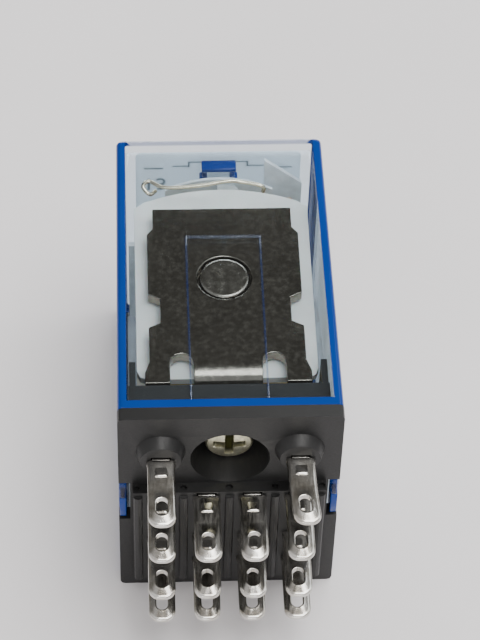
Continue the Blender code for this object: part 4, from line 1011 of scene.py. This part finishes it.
def pin_plan(page):
    """The blades as they stand in the base, numbered: the coil's pair, then four rows' worth of contacts."""
    columns = (-6.6, -2.2, 2.2, 6.6)
    for x, number in zip((columns[0], columns[3]), ("13", "14")):
        page.number(number, x * 0.98, -7.1)
        page.line((x - 0.9, -9.4), (x + 0.9, -9.4))
    for row, y in enumerate((-1.6, 3.1, 7.4)):
        for column, x in enumerate(columns):
            page.number(str(9 - 4 * row + column), x, y, page.settings.number_height * 0.8)
            page.line((x - 0.8, y + 1.6), (x + 0.8, y + 1.6))
    page.line((-4.6, -9.7), (-3.0, -9.7), (-3.0, -10.3), (3.0, -10.3), (3.0, -9.7), (4.6, -9.7))


def contact_diagram(page):
    """A change-over contact for each pole and the coil under them, with their terminal numbers."""
    for pole in range(4):
        x = (pole - 1.5) * 4.6
        page.number(str(pole + 1), x - 1.0, 10.6, page.settings.number_height * 0.75)
        page.number(str(pole + 5), x + 1.0, 10.6, page.settings.number_height * 0.75)
        page.number(str(pole + 9), x, -2.2, page.settings.number_height * 0.75)
        page.line((x - 1.0, 9.2), (x - 1.0, 6.6), (x - 0.3, 6.6))
        page.line((x + 1.0, 9.2), (x + 1.0, 5.6))
        page.line((x, 1.4), (x - 0.55, 6.3))
        page.ring(x, 0.9, 0.35)
        page.ring(x + 1.0, 5.1, 0.35)
    page.line((-3.0, -6.0), (3.0, -6.0), (3.0, -9.0), (-3.0, -9.0), (-3.0, -6.0))
    page.line((-3.0, -7.5), (-6.0, -7.5))
    page.line((3.0, -7.5), (6.0, -7.5))
    page.number("13", -7.4, -7.5)
    page.number("14", 7.4, -7.5)


def label_slab(settings, outline, axis, outer):
    """A thin label: an outline with round corners, and the same outline one thickness further in."""
    inward = np.sign(outer) * settings.thickness
    return skin([stand(outline, axis, outer), stand(outline, axis, outer - inward)])


def build_labels(cover, settings):
    """The printed label films: white, generic, with only numbers and a diagram."""
    paper = label_film(settings)
    ink = lacquered("printed label ink", settings.ink, roughness=0.5, ripple_mm=1.0, shade=0.85)
    # A grey copy of the print for the end label's back: painted shade of the front ink, where it keeps light
    # from coming through the film.
    ghost = lacquered(
        "painted shadow of the label ink through the film", settings.ghost, roughness=0.6, ripple_mm=1.0, shade=0.9
    )
    shy = 0.03 * MM
    for name, side in (("left_label", -1), ("right_label", 1)):
        low, high = span(name)
        outline = round_rectangle(low[1], high[1], low[2], high[2], 0.6 * MM)
        outer = side * (cover_half_width(cover, outline[:, 0]) - shy)
        make_piece(
            name + "_film", [label_slab(settings, outline, "X", outer)], paper, nodes=(name,),
            slot="label_paper",
        )
        middle = (low + high) / 2
        near, far = cover_half_width(cover, low[1]), cover_half_width(cover, high[1])
        lean = side * (far - near) / (high[1] - low[1])
        origin = (side * ((near + far) / 2 - shy + PRINT_LIFT), middle[1], middle[2])
        page = Print(settings, (0, 0, -side), (lean, 1, 0), origin)
        contact_diagram(page)
        page.finish(name + "_print", ink)
    low, high = span("end_label")
    outline = round_rectangle(low[0], high[0], low[2], high[2], 0.6 * MM)
    make_piece(
        "end_label_film", [label_slab(settings, outline, "Y", END_Y - shy)], paper, nodes=("end_label",),
        slot="label_paper",
    )
    middle = (low + high) / 2
    for name, y, material in (
        ("end_label_print", END_Y - shy + PRINT_LIFT, ink),
        ("end_label_ink_shadow_behind", END_Y - shy - settings.thickness - PRINT_LIFT, ghost),
    ):
        page = Print(settings, (1, 0, 0), (0, 0, -1), (middle[0], y, middle[2]))
        pin_plan(page)
        page.finish(name, material)


# The base, the screw, the yoke and the core.


def build_base(settings):
    moulding = black_phenolic(settings)
    finished_copy("base", "moulded_base", moulding, settings.edge_round, slot="black_phenolic")


def build_screw(settings):
    """The base's screw. Its head is a low dome in polar steps, pressed in by a cross whose arms have soft
    walls and a floor that rises outwards; then come the head's wall and the shank."""
    low, high = span("base_screw")
    radius = (high[0] - low[0]) / 2
    centre = np.array([0.0, (low[2] + high[2]) / 2])
    circle = unit_circle(144)
    arm, reach = settings.cross_width / 2, settings.cross_span / 2
    across = np.minimum(np.abs(circle[:, 0]), np.abs(circle[:, 1]))
    rings, recess = [], []
    for size in np.concatenate([[0.002], np.linspace(0.04, 0.8, 28), np.linspace(0.83, 1.0, 7)]) * radius:
        dome = 0.22 * MM * (size / radius) ** 2 + 0.2 * MM * max(0.0, (size / radius - 0.9) / 0.1) ** 2
        wall = np.clip((arm - across * size) / (0.07 * MM) + 0.5, 0, 1)
        end = np.clip((reach - size) / (0.1 * MM) + 0.5, 0, 1)
        floor = settings.cross_depth * (1 - 0.35 * size / reach)
        rings.append(stand(centre + circle * size, "Y", low[1] + dome + floor * wall * end))
        recess.append(wall * end)
    shank = 1.2 * MM
    head_depth = 1.5 * MM
    for size, depth in ((radius, 0.7 * MM), (radius, head_depth), (shank, head_depth + 0.05 * MM)):
        rings.append(stand(centre + circle * size, "Y", low[1] + depth))
    rings.append(stand(centre + circle * shank, "Y", high[1]))
    recess += [np.zeros(len(circle))] * (len(rings) - len(recess))
    make_piece(
        "screw_with_cross", [skin(rings)], zinc_plate(settings), crease=50.0,
        marks={"recess": np.concatenate(recess)}, nodes=("base_screw",), slot="zinc_steel",
    )


def build_yoke_and_core(settings):
    yoke = nickel_steel("pressed nickel-plated steel", settings.yoke_colour, roughness=0.17)
    finished_copy("yoke", "bent_yoke", yoke, settings.yoke_round, slot="nickel_steel")
    low, high = span("core")
    neck = 2.45 * MM
    pole = (high[0] - low[0]) / 2
    shaft = 3.0 * MM
    shoulder = span("yoke")[1][2] - 1.5 * MM
    profile = [
        (0.05 * MM, low[2]), (pole - 0.08 * MM, low[2]), (pole, low[2] + 0.08 * MM),
        (pole, low[2] + 0.92 * MM), (pole - 0.08 * MM, low[2] + 1.0 * MM), (shaft, low[2] + 1.06 * MM),
        (shaft, shoulder), (neck, shoulder + 0.04 * MM), (neck, high[2] - 0.22 * MM),
        (neck - 0.05 * MM, high[2] - 0.1 * MM), (neck - 0.16 * MM, high[2] - 0.02 * MM),
        (neck - 0.32 * MM, high[2]), (neck * 0.6, high[2] - 0.03 * MM), (0.05 * MM, high[2] - 0.05 * MM),
    ]
    centre = np.array([(low[0] + high[0]) / 2, (low[1] + high[1]) / 2])
    iron = nickel_steel(
        "turned and staked core iron", settings.core_colour, roughness=0.22, grain_mm=0.6
    )
    make_piece("staked_core", [turned(profile, centre, "Z", 96)], iron, nodes=("core",), slot="bright_steel")


# The coil.


def build_coil(settings):
    nylon = white_nylon(settings)
    finished_copy("bobbin", "moulded_bobbin", nylon, settings.bobbin_round, slot="white_nylon")
    dress_node("coil_winding", wound_copper(settings))
    low, high = span("coil_tape")
    half_x, half_y = (high[0] - low[0]) / 2, (high[1] - low[1]) / 2
    centre = (low + high) / 2
    straight = half_y - half_x
    angle = np.linspace(0, 2 * np.pi, 96, endpoint=False)
    lap = angle / (2 * np.pi) * 0.1 * MM
    rings = []
    for inset, z in ((0.2, low[2]), (0.0, low[2]), (0.0, high[2]), (0.2, high[2])):
        reach = half_x - 0.1 * MM + lap - inset * MM
        y = centre[1] + np.where(np.sin(angle) >= 0, straight, -straight) + reach * np.sin(angle)
        rings.append(np.column_stack([centre[0] + reach * np.cos(angle), y, np.full_like(y, z)]))
    tape = lacquered("wound polyester tape", settings.tape, roughness=0.3, ripple_mm=0.8, shade=0.85)
    make_piece("wound_tape", [hoop(rings)], tape, nodes=("coil_tape",), slot="winding_tape")
    wire = plain_metal("enamelled copper lead", settings.wire, roughness=0.3, grain_mm=0.3)
    top = 22.62 * MM
    seat = UNDERSIDE_Y + 5.0 * MM
    for name, side in (("coil_lead_13", -1), ("coil_lead_14", 1)):
        route = [
            (side * 6.6 * MM, seat + 0.1 * MM, top + 0.55 * MM),
            (side * 7.3 * MM, seat + 0.5 * MM, top + 0.55 * MM),
            (side * 7.3 * MM, seat + 1.7 * MM, top + 0.28 * MM),
            (side * 7.1 * MM, seat + 2.5 * MM, top),
        ]
        make_piece(
            name + "_wire", [tube(smooth_route(route), 0.2 * MM)], wire, nodes=(name,),
            slot="enamelled_copper",
        )


# The terminals and the fixed contacts.


def stadium_reach(angle, half_width, half_length):
    """The distance from a slot's middle to its edge in a direction: its straight side or its round end."""
    straight = half_length - half_width
    cos, sin = np.abs(np.cos(angle)), np.abs(np.sin(angle))
    side = half_width / np.maximum(cos, 1e-9)
    under = np.maximum(half_width**2 - (straight * cos) ** 2, 0.0)
    end = straight * sin + np.sqrt(under)
    return np.where(side * sin <= straight, side, end)


def coined_section(settings, half_width, half_thickness):
    """Half a blade's section over its width, from the middle of its top to the middle of its underside:
    flat, then down the coined slope to the edge, and a small round below."""
    coin, depth = settings.coin_width, settings.coin_depth
    return np.array([
        (half_width - coin - 0.08 * MM, half_thickness),
        (half_width - coin, half_thickness - depth * 0.3),
        (half_width - coin * 0.2, half_thickness - depth),
        (half_width, half_thickness - depth - 0.06 * MM),
        (half_width, -half_thickness + 0.08 * MM),
        (half_width - 0.08 * MM, -half_thickness),
    ])


def blade_tip(settings, x, z, tip_y, half_width):
    """The blade round its eye: rings that run from the eye's edge to the blade's, each ring a blend of the
    two outlines along rays from the eye's middle, with the eye's pressed rim and the coined outer edge."""
    length = settings.eye_to_tip * 2
    middle = np.array([x, tip_y + settings.eye_to_tip])
    radius = settings.tip_radius
    turn = np.linspace(0, np.pi / 2, 13)
    tip = np.column_stack([
        np.concatenate([-half_width + radius * (1 - np.cos(turn)), half_width - radius * (1 - np.sin(turn))]),
        np.concatenate([radius * (1 - np.sin(turn)), radius * (1 - np.cos(turn))]),
    ])
    side = np.linspace(radius, length, 12)[1:]
    top = np.linspace(half_width, -half_width, 14)[1:-1]
    outline = np.vstack([
        tip, np.column_stack([np.full_like(side, half_width), side]),
        np.column_stack([top, np.full_like(top, length)]),
        np.column_stack([np.full_like(side, -half_width), side[::-1]]),
    ])
    outline = outline + np.array([x, tip_y])
    keep_top = (outline[:, 1] < tip_y + length - 1e-7)[:, None]
    ray = outline - middle
    reach = np.linalg.norm(ray, axis=1)
    ray = ray / reach[:, None]
    angle = np.arctan2(ray[:, 1], ray[:, 0])
    normal = np.roll(outline, -1, axis=0) - np.roll(outline, 1, axis=0)
    normal = np.column_stack([-normal[:, 1], normal[:, 0]]) / np.linalg.norm(normal, axis=1)[:, None]
    half = BLADE_THICKNESS / 2
    rim = settings.eye_rim
    rings = []
    eye_steps = (
        (0.05, -half), (0.0, -half + 0.05 * MM), (0.0, half), (0.04, half + rim * 0.8), (0.1, half + rim),
        (0.18, half + rim * 0.8), (0.28, half),
    )
    for grow, level in eye_steps:
        size = stadium_reach(angle, settings.eye_width / 2 + grow * MM, settings.eye_length / 2 + grow * MM)
        rings.append(stand(middle + ray * size[:, None], "Z", z + level))
    for distance, level in coined_section(settings, half_width, half):
        inset = half_width - distance
        shifted = outline + normal * inset * keep_top
        shifted[:, 0] = np.clip(shifted[:, 0], x - distance, x + distance)
        rings.append(stand(shifted, "Z", z + level))
    return hoop(rings), tip_y + length


def blade_root(settings, x, z, near, far, half_width):
    """The rest of the blade as its coined section carried to the shoulder, where it widens a little."""
    half = BLADE_THICKNESS / 2
    right = coined_section(settings, half_width, half)
    section = np.vstack([right, right[::-1] * np.array([-1, 1])])
    places = np.array([near, far - 0.75 * MM, far - 0.45 * MM, far - 0.05 * MM, far])
    widths = np.array([1.0, 1.0, 1.05, 1.05, 1.03])
    rings = [stand(section * (wide, 1) + (x, z), "Y", place) for place, wide in zip(places, widths)]
    return skin(rings)


def blade_lance(x, z, far):
    """A pressed tongue near the root: a wedge that rises towards the tip and falls off at its sides."""
    half_width, length, height = 0.6 * MM, 1.15 * MM, 0.16 * MM
    across = np.linspace(-1, 1, 15)
    along = np.array([0.0, 0.02, 0.08, 0.2, 0.5, 0.8, 1.0])
    rise = np.array([0.0, 0.75, 1.0, 0.95, 0.6, 0.25, 0.0])
    fall = 1 - np.abs(across) ** 6
    top = z + BLADE_THICKNESS / 2 - 0.01 * MM + height * rise[:, None] * fall[None, :]
    y = np.broadcast_to((far - 1.9 * MM + length * along)[:, None], top.shape)
    wide = np.broadcast_to(x + half_width * across, top.shape)
    upper = np.stack([wide, y, top], axis=-1)
    lower = upper[:, ::-1].copy()
    lower[..., 2] = z
    return skin(np.concatenate([upper, lower], axis=1))


def bend_blade(part, root_y, tip_y, amount):
    """The same surface with the blade bent sideways, by the square of the distance from its root."""
    points, faces = part
    share = np.clip((root_y - points[:, 1]) / (root_y - tip_y), 0, 1)
    moved = points.copy()
    moved[:, 0] += amount * share**2
    return moved, faces


def build_terminal(settings, node, material):
    low, high = span(node)
    x = (low[0] + high[0]) / 2
    z = high[2] - BLADE_THICKNESS / 2
    half_width = (high[0] - low[0]) / 2
    shoulder = FIELD_Y - SHOULDER_GAP
    tip, root_y = blade_tip(settings, x, z, low[1], half_width)
    parts = [tip, blade_root(settings, x, z, root_y, shoulder, half_width), blade_lance(x, z, shoulder)]
    if node == "coil_terminal_14":
        parts = [bend_blade(part, shoulder, low[1], settings.bend) for part in parts]
    narrow = settings.strip_width / 2
    half = BLADE_THICKNESS / 2
    strip_low = (x - narrow, shoulder - 0.1 * MM, z - half)
    parts.append(round_bar(strip_low, (x + narrow, high[1], z + half), 0.06 * MM))
    if node.startswith("com_"):
        tongue_low = (x - narrow, high[1] - BLADE_THICKNESS, low[2])
        parts.append(round_bar(tongue_low, (x + narrow, high[1], z + half), 0.06 * MM, "Z"))
    make_piece(node + "_blade", parts, material, crease=40.0, nodes=(node,), slot="tinned_brass")


def build_terminals(settings):
    tin = tinned_brass(settings)
    for node in sorted(name for name in frame["nodes"] if "_terminal_" in name):
        build_terminal(settings, node, tin)


def build_fixed_contacts(settings):
    silver = plain_metal("headed silver rivet", settings.silver, roughness=0.24, grain_mm=0.2)
    for node in sorted(name for name in frame["nodes"] if name.startswith(("nc_contact_", "no_contact_"))):
        finished_copy(node, node + "_rivet", silver, settings.edge_round, slot="contact_silver")


# The armature and what moves with it.


def build_armature(steel, coil, settings):
    plate = nickel_steel("armature of nickel-plated steel", steel.yoke_colour, roughness=0.32)
    finished_copy("armature", "armature_plate", plate, steel.yoke_round, body=MOVING, slot="nickel_steel")
    nylon = bpy.data.materials.get("moulded white nylon") or white_nylon(coil)
    finished_copy(
        "contact_carrier", "moulded_carrier", nylon, settings.edge_round * 1.6, body=MOVING,
        slot="white_nylon",
    )
    bronze = plain_metal(
        "rolled phosphor bronze", settings.bronze, roughness=0.26, grain_mm=0.12, along=(1.0, 0.1, 1.0)
    )
    silver = plain_metal("moving silver rivet", settings.silver, roughness=0.24, grain_mm=0.2)
    for pole in range(1, 5):
        finished_copy(
            f"moving_spring_{pole}", f"spring_blade_{pole}", bronze, settings.edge_round * 0.8, body=MOVING,
            slot="phosphor_bronze",
        )
        finished_copy(
            f"moving_contact_{pole}", f"moving_rivet_{pole}", silver, settings.edge_round, body=MOVING,
            slot="contact_silver",
        )


def build_flexible_leads(settings):
    """Stranded leads from the common terminals to the moving springs."""
    copper = plain_metal("stranded copper braid", settings.braid, roughness=0.34, grain_mm=0.15)
    for pole in range(1, 5):
        node = f"flexible_lead_{pole + 8}"
        spring_low, spring_high = span(f"moving_spring_{pole}")
        tongue_low, tongue_high = span(f"com_terminal_{pole + 8}")
        radius = settings.braid_radius
        x = (spring_low[0] + spring_high[0]) / 2
        side = 1 if x > 0 else -1
        gap_x = side * (4.4 if abs(x) > 4.4 * MM else 0.63) * MM
        start_y = tongue_high[1] - BLADE_THICKNESS / 2
        top = tongue_low[2] - 0.1 * MM
        rear = spring_low[1]
        low_z = spring_high[2] - 0.1 * MM
        begin = PIVOT[1]
        reach = rear - begin
        route = [
            (x, start_y, top),
            (x + (gap_x - x) * 0.3, start_y + 0.1 * MM, top - radius),
            (gap_x, begin, top - radius * 3),
            (gap_x, begin + reach * 0.25, (10.33 * MM + low_z) / 2),
            (gap_x, begin + reach * 0.65, low_z + radius),
            (x + (gap_x - x) * 0.4, rear - radius * 3, low_z + 0.1 * MM),
            (x, rear - 0.1 * MM, low_z),
        ]
        strands = tube(
            smooth_route(route, 14), radius, 42, settings.braid_strands, 0.28, settings.braid_pitch
        )
        piece = make_piece(
            f"braided_lead_{pole + 8}", [strands], copper, crease=80.0, nodes=(node,), slot="copper_braid",
            body=None,
        )
        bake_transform(piece)


def build_return_spring(settings):
    """A small coiled wire whose turns close at both ends."""
    low, high = span("return_spring")
    wire = 0.15 * MM
    radius = (high[0] - low[0]) / 2 - wire
    centre = (low + high) / 2
    share = np.linspace(0, 1, 200)
    angle = 2 * np.pi * share * 4.5
    climb = np.interp(share, [0, 0.18, 0.82, 1], [0, 0.12, 0.88, 1])
    height = low[2] + wire + (high[2] - low[2] - 2 * wire) * climb
    route = np.column_stack([centre[0] + radius * np.cos(angle), centre[1] + radius * np.sin(angle), height])
    steel = plain_metal("drawn spring steel", settings.core_colour, roughness=0.25, grain_mm=0.2)
    piece = make_piece("return_coil", [tube(route, wire, 10)], steel, crease=80.0, nodes=("return_spring",),
                       slot="bright_steel")
    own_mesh(piece)


# The lamp, its resistor and wires, the barrier and the film.


def build_lamp(settings):
    low, high = span("indicator_lamp")
    centre = (low + high) / 2
    radius = (high[2] - low[2]) / 2
    share = np.linspace(0, np.pi / 2, 10)
    profile = [(radius * 0.8, low[0]), (radius, low[0] + 0.1 * MM)]
    profile += [(radius * math.cos(turn), high[0] - radius * (1.1 - 1.05 * math.sin(turn))) for turn in share]
    profile[-1] = (0.02 * MM, profile[-1][1])
    resin = milky_film("cast clear epoxy lamp", "F2F4EE", cover=0.55, roughness=0.08)
    make_piece("lamp_body", [turned(profile, centre[1:], "X", 48)], resin, nodes=("indicator_lamp",),
               slot="clear_epoxy")
    low, high = span("resistor")
    centre = (low + high) / 2
    radius = (high[2] - low[2]) / 2
    half = (high[0] - low[0]) / 2
    share = np.linspace(-1, 1, 41)
    waist = 1 - 0.13 * np.clip(1 - (np.abs(share) / 0.5) ** 6, 0, 1)
    size = radius * waist * np.sqrt(np.clip(1 - np.clip((np.abs(share) - 0.8) / 0.22, 0, 1) ** 2, 0.05, 1))
    profile = np.column_stack([size, centre[0] + half * share])
    make_piece("banded_resistor", [turned(profile, centre[1:], "X", 48)], banded_resistor(settings),
               nodes=("resistor",), slot="resistor_lacquer")
    wire = plain_metal("drawn tinned wire", settings.wire, roughness=0.18, grain_mm=0.2)
    lamp_low, lamp_high = span("indicator_lamp")
    lamp = (lamp_low + lamp_high) / 2
    thick = 0.2 * MM
    bridge = [
        (lamp_high[0] + 0.1 * MM, lamp[1], lamp[2]),
        ((lamp_high[0] + low[0]) / 2, (lamp[1] + centre[1]) / 2, (lamp[2] + centre[2]) / 2),
        (low[0] - 0.1 * MM, centre[1], centre[2]),
    ]
    make_piece("bridge_wire", [tube(smooth_route(bridge), thick)], wire, nodes=("lamp_bridge_wire",),
               slot="tinned_wire")
    shelf = span("bobbin")[1][1] + thick * 1.5
    top = span("bobbin")[1][2] + thick + 0.1 * MM
    loop_x = -span("bobbin")[1][0] + 1.6 * MM
    step = 2.0 * MM
    turn = 0.65 * MM
    arch = [
        (low[0] + 0.1 * MM, shelf - thick, top - 0.9 * MM), (low[0], shelf - thick, top),
        (low[0] - step, shelf + thick, top + thick), (lamp[0], shelf + thick, top + thick * 2),
        (lamp[0] - step * 1.5, shelf - thick, top + thick), (loop_x + 1.6 * MM, shelf - thick, top),
        (loop_x, shelf + turn, top), (loop_x - turn, shelf, top),
        (loop_x, shelf - turn, top - thick * 2.5), (loop_x + turn, shelf, top - thick * 3.5),
    ]
    make_piece("return_wire", [tube(smooth_route(arch, 10), thick, 16)], wire, nodes=("lamp_return_wire",),
               slot="tinned_wire")


def build_end_plates():
    dress_node("arc_barrier", milky_film("moulded milky barrier", "F2F5F5", cover=0.82, roughness=0.35))
    dress_node("insulating_film", milky_film("milky polyester film", "F2F6F6", cover=0.82, roughness=0.25))


# The stage.


# The room is darker past the cover's end, so that the yoke's flat face reads dark.
NEAR_ROOM = "F4F2F2"
FAR_ROOM = "6E6B66"
BENCH_HALF = 3.0


def build_stage(settings):
    points = [(x * BENCH_HALF, y * BENCH_HALF, 0.0) for x, y in ((-1, -1), (1, -1), (1, 1), (-1, 1))]
    mesh = bpy.data.meshes.new("bench")
    mesh.from_pydata(points, [], [(0, 1, 2, 3)])
    mesh.materials.append(bench_top(settings))
    bench = bpy.data.objects.new("bench", mesh)
    bpy.context.scene.collection.objects.link(bench)
    camera = bpy.data.cameras.new("camera")
    camera.lens = settings.lens
    camera.sensor_width = 36.0
    camera.clip_start = 0.01
    viewpoint = bpy.data.objects.new("camera", camera)
    bpy.context.scene.collection.objects.link(viewpoint)
    viewpoint.location = settings.camera
    turn = Matrix.Rotation(-settings.yaw, 4, "Z") @ Matrix.Rotation(math.pi / 2 - settings.pitch, 4, "X")
    turn = turn @ Matrix.Rotation(settings.roll, 4, "Z")
    viewpoint.rotation_euler = turn.to_euler()
    bpy.context.scene.camera = viewpoint
    panels = (
        ("ceiling panel", (0.14, -0.06, 0.55), (0.42, 0.34), settings.key_power, (1.0, 0.985, 0.965)),
        ("window", (0.55, 0.25, 0.5), (0.5, 0.5), settings.key_power * 0.35, (0.95, 0.98, 1.0)),
        ("low back panel", (0.1, 0.8, 0.22), (0.7, 0.3), settings.key_power * 1.9, (0.97, 0.99, 1.0)),
        ("front fill", (-0.1, -0.8, 0.3), (0.6, 0.4), settings.key_power * 0.8, (1.0, 0.99, 0.98)),
    )
    for name, place, size, power, colour in panels:
        light = bpy.data.lights.new(name, "AREA")
        light.shape = "RECTANGLE"
        light.size, light.size_y = size
        light.energy = power
        light.color = colour
        lamp = bpy.data.objects.new(name, light)
        bpy.context.scene.collection.objects.link(lamp)
        lamp.location = place
        lamp.rotation_euler = Vector(place).to_track_quat("Z", "Y").to_euler()
    world = bpy.data.worlds.new("room")
    world.use_nodes = True
    tree = world.node_tree
    sky = tree.nodes["Background"]
    way = add_node(tree, "ShaderNodeTexCoord", "Generated")
    ahead = add_node(tree, "ShaderNodeSeparateXYZ", "Y", Vector=way)
    far_side = add_node(tree, "ShaderNodeMapRange", "Result", Value=ahead, From_Min=0.1, From_Max=0.55)
    add_node(
        tree, "ShaderNodeMix", COLOUR_RESULT, COLOURS, sky.inputs["Color"], i0=far_side,
        i6=solid(linear(NEAR_ROOM)), i7=solid(linear(FAR_ROOM)),
    )
    sky.inputs["Strength"].default_value = settings.sky
    bpy.context.scene.world = world


# Operators, the panel and the order of building.


def settings_of(context, group):
    return getattr(context.scene, "relay_" + group)


class RELAY_OT_stage(bpy.types.Operator):
    """Puts up the bench, the lights and the camera"""

    bl_idname = "relay.stage"
    bl_label = "Stage"

    def execute(self, context):
        build_stage(settings_of(context, "stage"))
        return {"FINISHED"}


class RELAY_OT_cover(bpy.types.Operator):
    """Builds the clear blue cover with its crown, panel frame and latch tongues"""

    bl_idname = "relay.cover"
    bl_label = "Cover"

    def execute(self, context):
        build_cover(settings_of(context, "cover"))
        return {"FINISHED"}


class RELAY_OT_labels(bpy.types.Operator):
    """Builds the three label films and their print"""

    bl_idname = "relay.labels"
    bl_label = "Labels"

    def execute(self, context):
        build_labels(settings_of(context, "cover"), settings_of(context, "labels"))
        return {"FINISHED"}


class RELAY_OT_base(bpy.types.Operator):
    """Rounds the edges of the moulded base and finishes it"""

    bl_idname = "relay.base"
    bl_label = "Base"

    def execute(self, context):
        build_base(settings_of(context, "base"))
        return {"FINISHED"}


class RELAY_OT_screw(bpy.types.Operator):
    """Builds the base's screw with its cross recess"""

    bl_idname = "relay.screw"
    bl_label = "Screw"

    def execute(self, context):
        build_screw(settings_of(context, "screw"))
        return {"FINISHED"}


class RELAY_OT_yoke_and_core(bpy.types.Operator):
    """Builds the bent yoke and the core staked into it"""

    bl_idname = "relay.yoke_and_core"
    bl_label = "Yoke and core"

    def execute(self, context):
        build_yoke_and_core(settings_of(context, "steel"))
        return {"FINISHED"}


class RELAY_OT_coil(bpy.types.Operator):
    """Builds the bobbin, the winding, its tape and the coil leads"""

    bl_idname = "relay.coil"
    bl_label = "Coil"

    def execute(self, context):
        build_coil(settings_of(context, "coil"))
        return {"FINISHED"}


class RELAY_OT_terminals(bpy.types.Operator):
    """Builds the fourteen blade terminals"""

    bl_idname = "relay.terminals"
    bl_label = "Terminals"

    def execute(self, context):
        build_terminals(settings_of(context, "terminals"))
        return {"FINISHED"}


class RELAY_OT_fixed_contacts(bpy.types.Operator):
    """Builds the rivets on the fixed strips"""

    bl_idname = "relay.fixed_contacts"
    bl_label = "Fixed contacts"

    def execute(self, context):
        build_fixed_contacts(settings_of(context, "contacts"))
        return {"FINISHED"}


class RELAY_OT_armature(bpy.types.Operator):
    """Builds the armature with its carrier, moving springs and rivets"""

    bl_idname = "relay.armature"
    bl_label = "Armature"

    def execute(self, context):
        build_armature(
            settings_of(context, "steel"), settings_of(context, "coil"), settings_of(context, "contacts")
        )
        return {"FINISHED"}


class RELAY_OT_flexible_leads(bpy.types.Operator):
    """Builds the stranded leads"""

    bl_idname = "relay.flexible_leads"
    bl_label = "Flexible leads"

    def execute(self, context):
        build_flexible_leads(settings_of(context, "contacts"))
        return {"FINISHED"}


class RELAY_OT_return_spring(bpy.types.Operator):
    """Builds the coiled return spring, which the armature presses"""

    bl_idname = "relay.return_spring"
    bl_label = "Return spring"

    def execute(self, context):
        build_return_spring(settings_of(context, "steel"))
        return {"FINISHED"}


class RELAY_OT_lamp(bpy.types.Operator):
    """Builds the indicator lamp, its resistor and their wires"""

    bl_idname = "relay.lamp"
    bl_label = "Lamp"

    def execute(self, context):
        build_lamp(settings_of(context, "lamp"))
        return {"FINISHED"}


class RELAY_OT_end_plates(bpy.types.Operator):
    """Finishes the arc barrier and the insulating film"""

    bl_idname = "relay.end_plates"
    bl_label = "Barrier and film"

    def execute(self, context):
        build_end_plates()
        return {"FINISHED"}


GROUPS = {
    "stage": StageSettings,
    "cover": CoverSettings,
    "labels": LabelSettings,
    "base": BaseSettings,
    "screw": ScrewSettings,
    "steel": SteelSettings,
    "coil": CoilSettings,
    "terminals": TerminalSettings,
    "contacts": ContactSettings,
    "lamp": LampSettings,
}

OPERATORS = (
    RELAY_OT_stage, RELAY_OT_cover, RELAY_OT_labels, RELAY_OT_base, RELAY_OT_screw, RELAY_OT_yoke_and_core,
    RELAY_OT_coil, RELAY_OT_terminals, RELAY_OT_fixed_contacts, RELAY_OT_armature, RELAY_OT_flexible_leads,
    RELAY_OT_return_spring, RELAY_OT_lamp, RELAY_OT_end_plates,
)


class RELAY_PT_sidebar(bpy.types.Panel):
    """Lists the relay's settings and the buttons that build its pieces"""

    bl_idname = "RELAY_PT_sidebar"
    bl_label = "Plug-in relay"
    bl_space_type = "VIEW_3D"
    bl_region_type = "UI"
    bl_category = "Relay"

    def draw(self, context):
        for operator in OPERATORS:
            self.layout.operator(operator.bl_idname)
        for name, group in GROUPS.items():
            box = self.layout.box()
            box.label(text=name.capitalize())
            for key in group.__annotations__:
                box.prop(settings_of(context, name), key)


def register():
    for group in (*GROUPS.values(), *OPERATORS, RELAY_PT_sidebar):
        bpy.utils.register_class(group)
    for name, group in GROUPS.items():
        setattr(bpy.types.Scene, "relay_" + name, PointerProperty(type=group))


def unregister():
    for name in GROUPS:
        delattr(bpy.types.Scene, "relay_" + name)
    for group in reversed((*GROUPS.values(), *OPERATORS, RELAY_PT_sidebar)):
        bpy.utils.unregister_class(group)


def main():
    register()
    for operator in OPERATORS:
        family, name = operator.bl_idname.split(".")
        getattr(getattr(bpy.ops, family), name)()


if __name__ == "__main__":
    main()
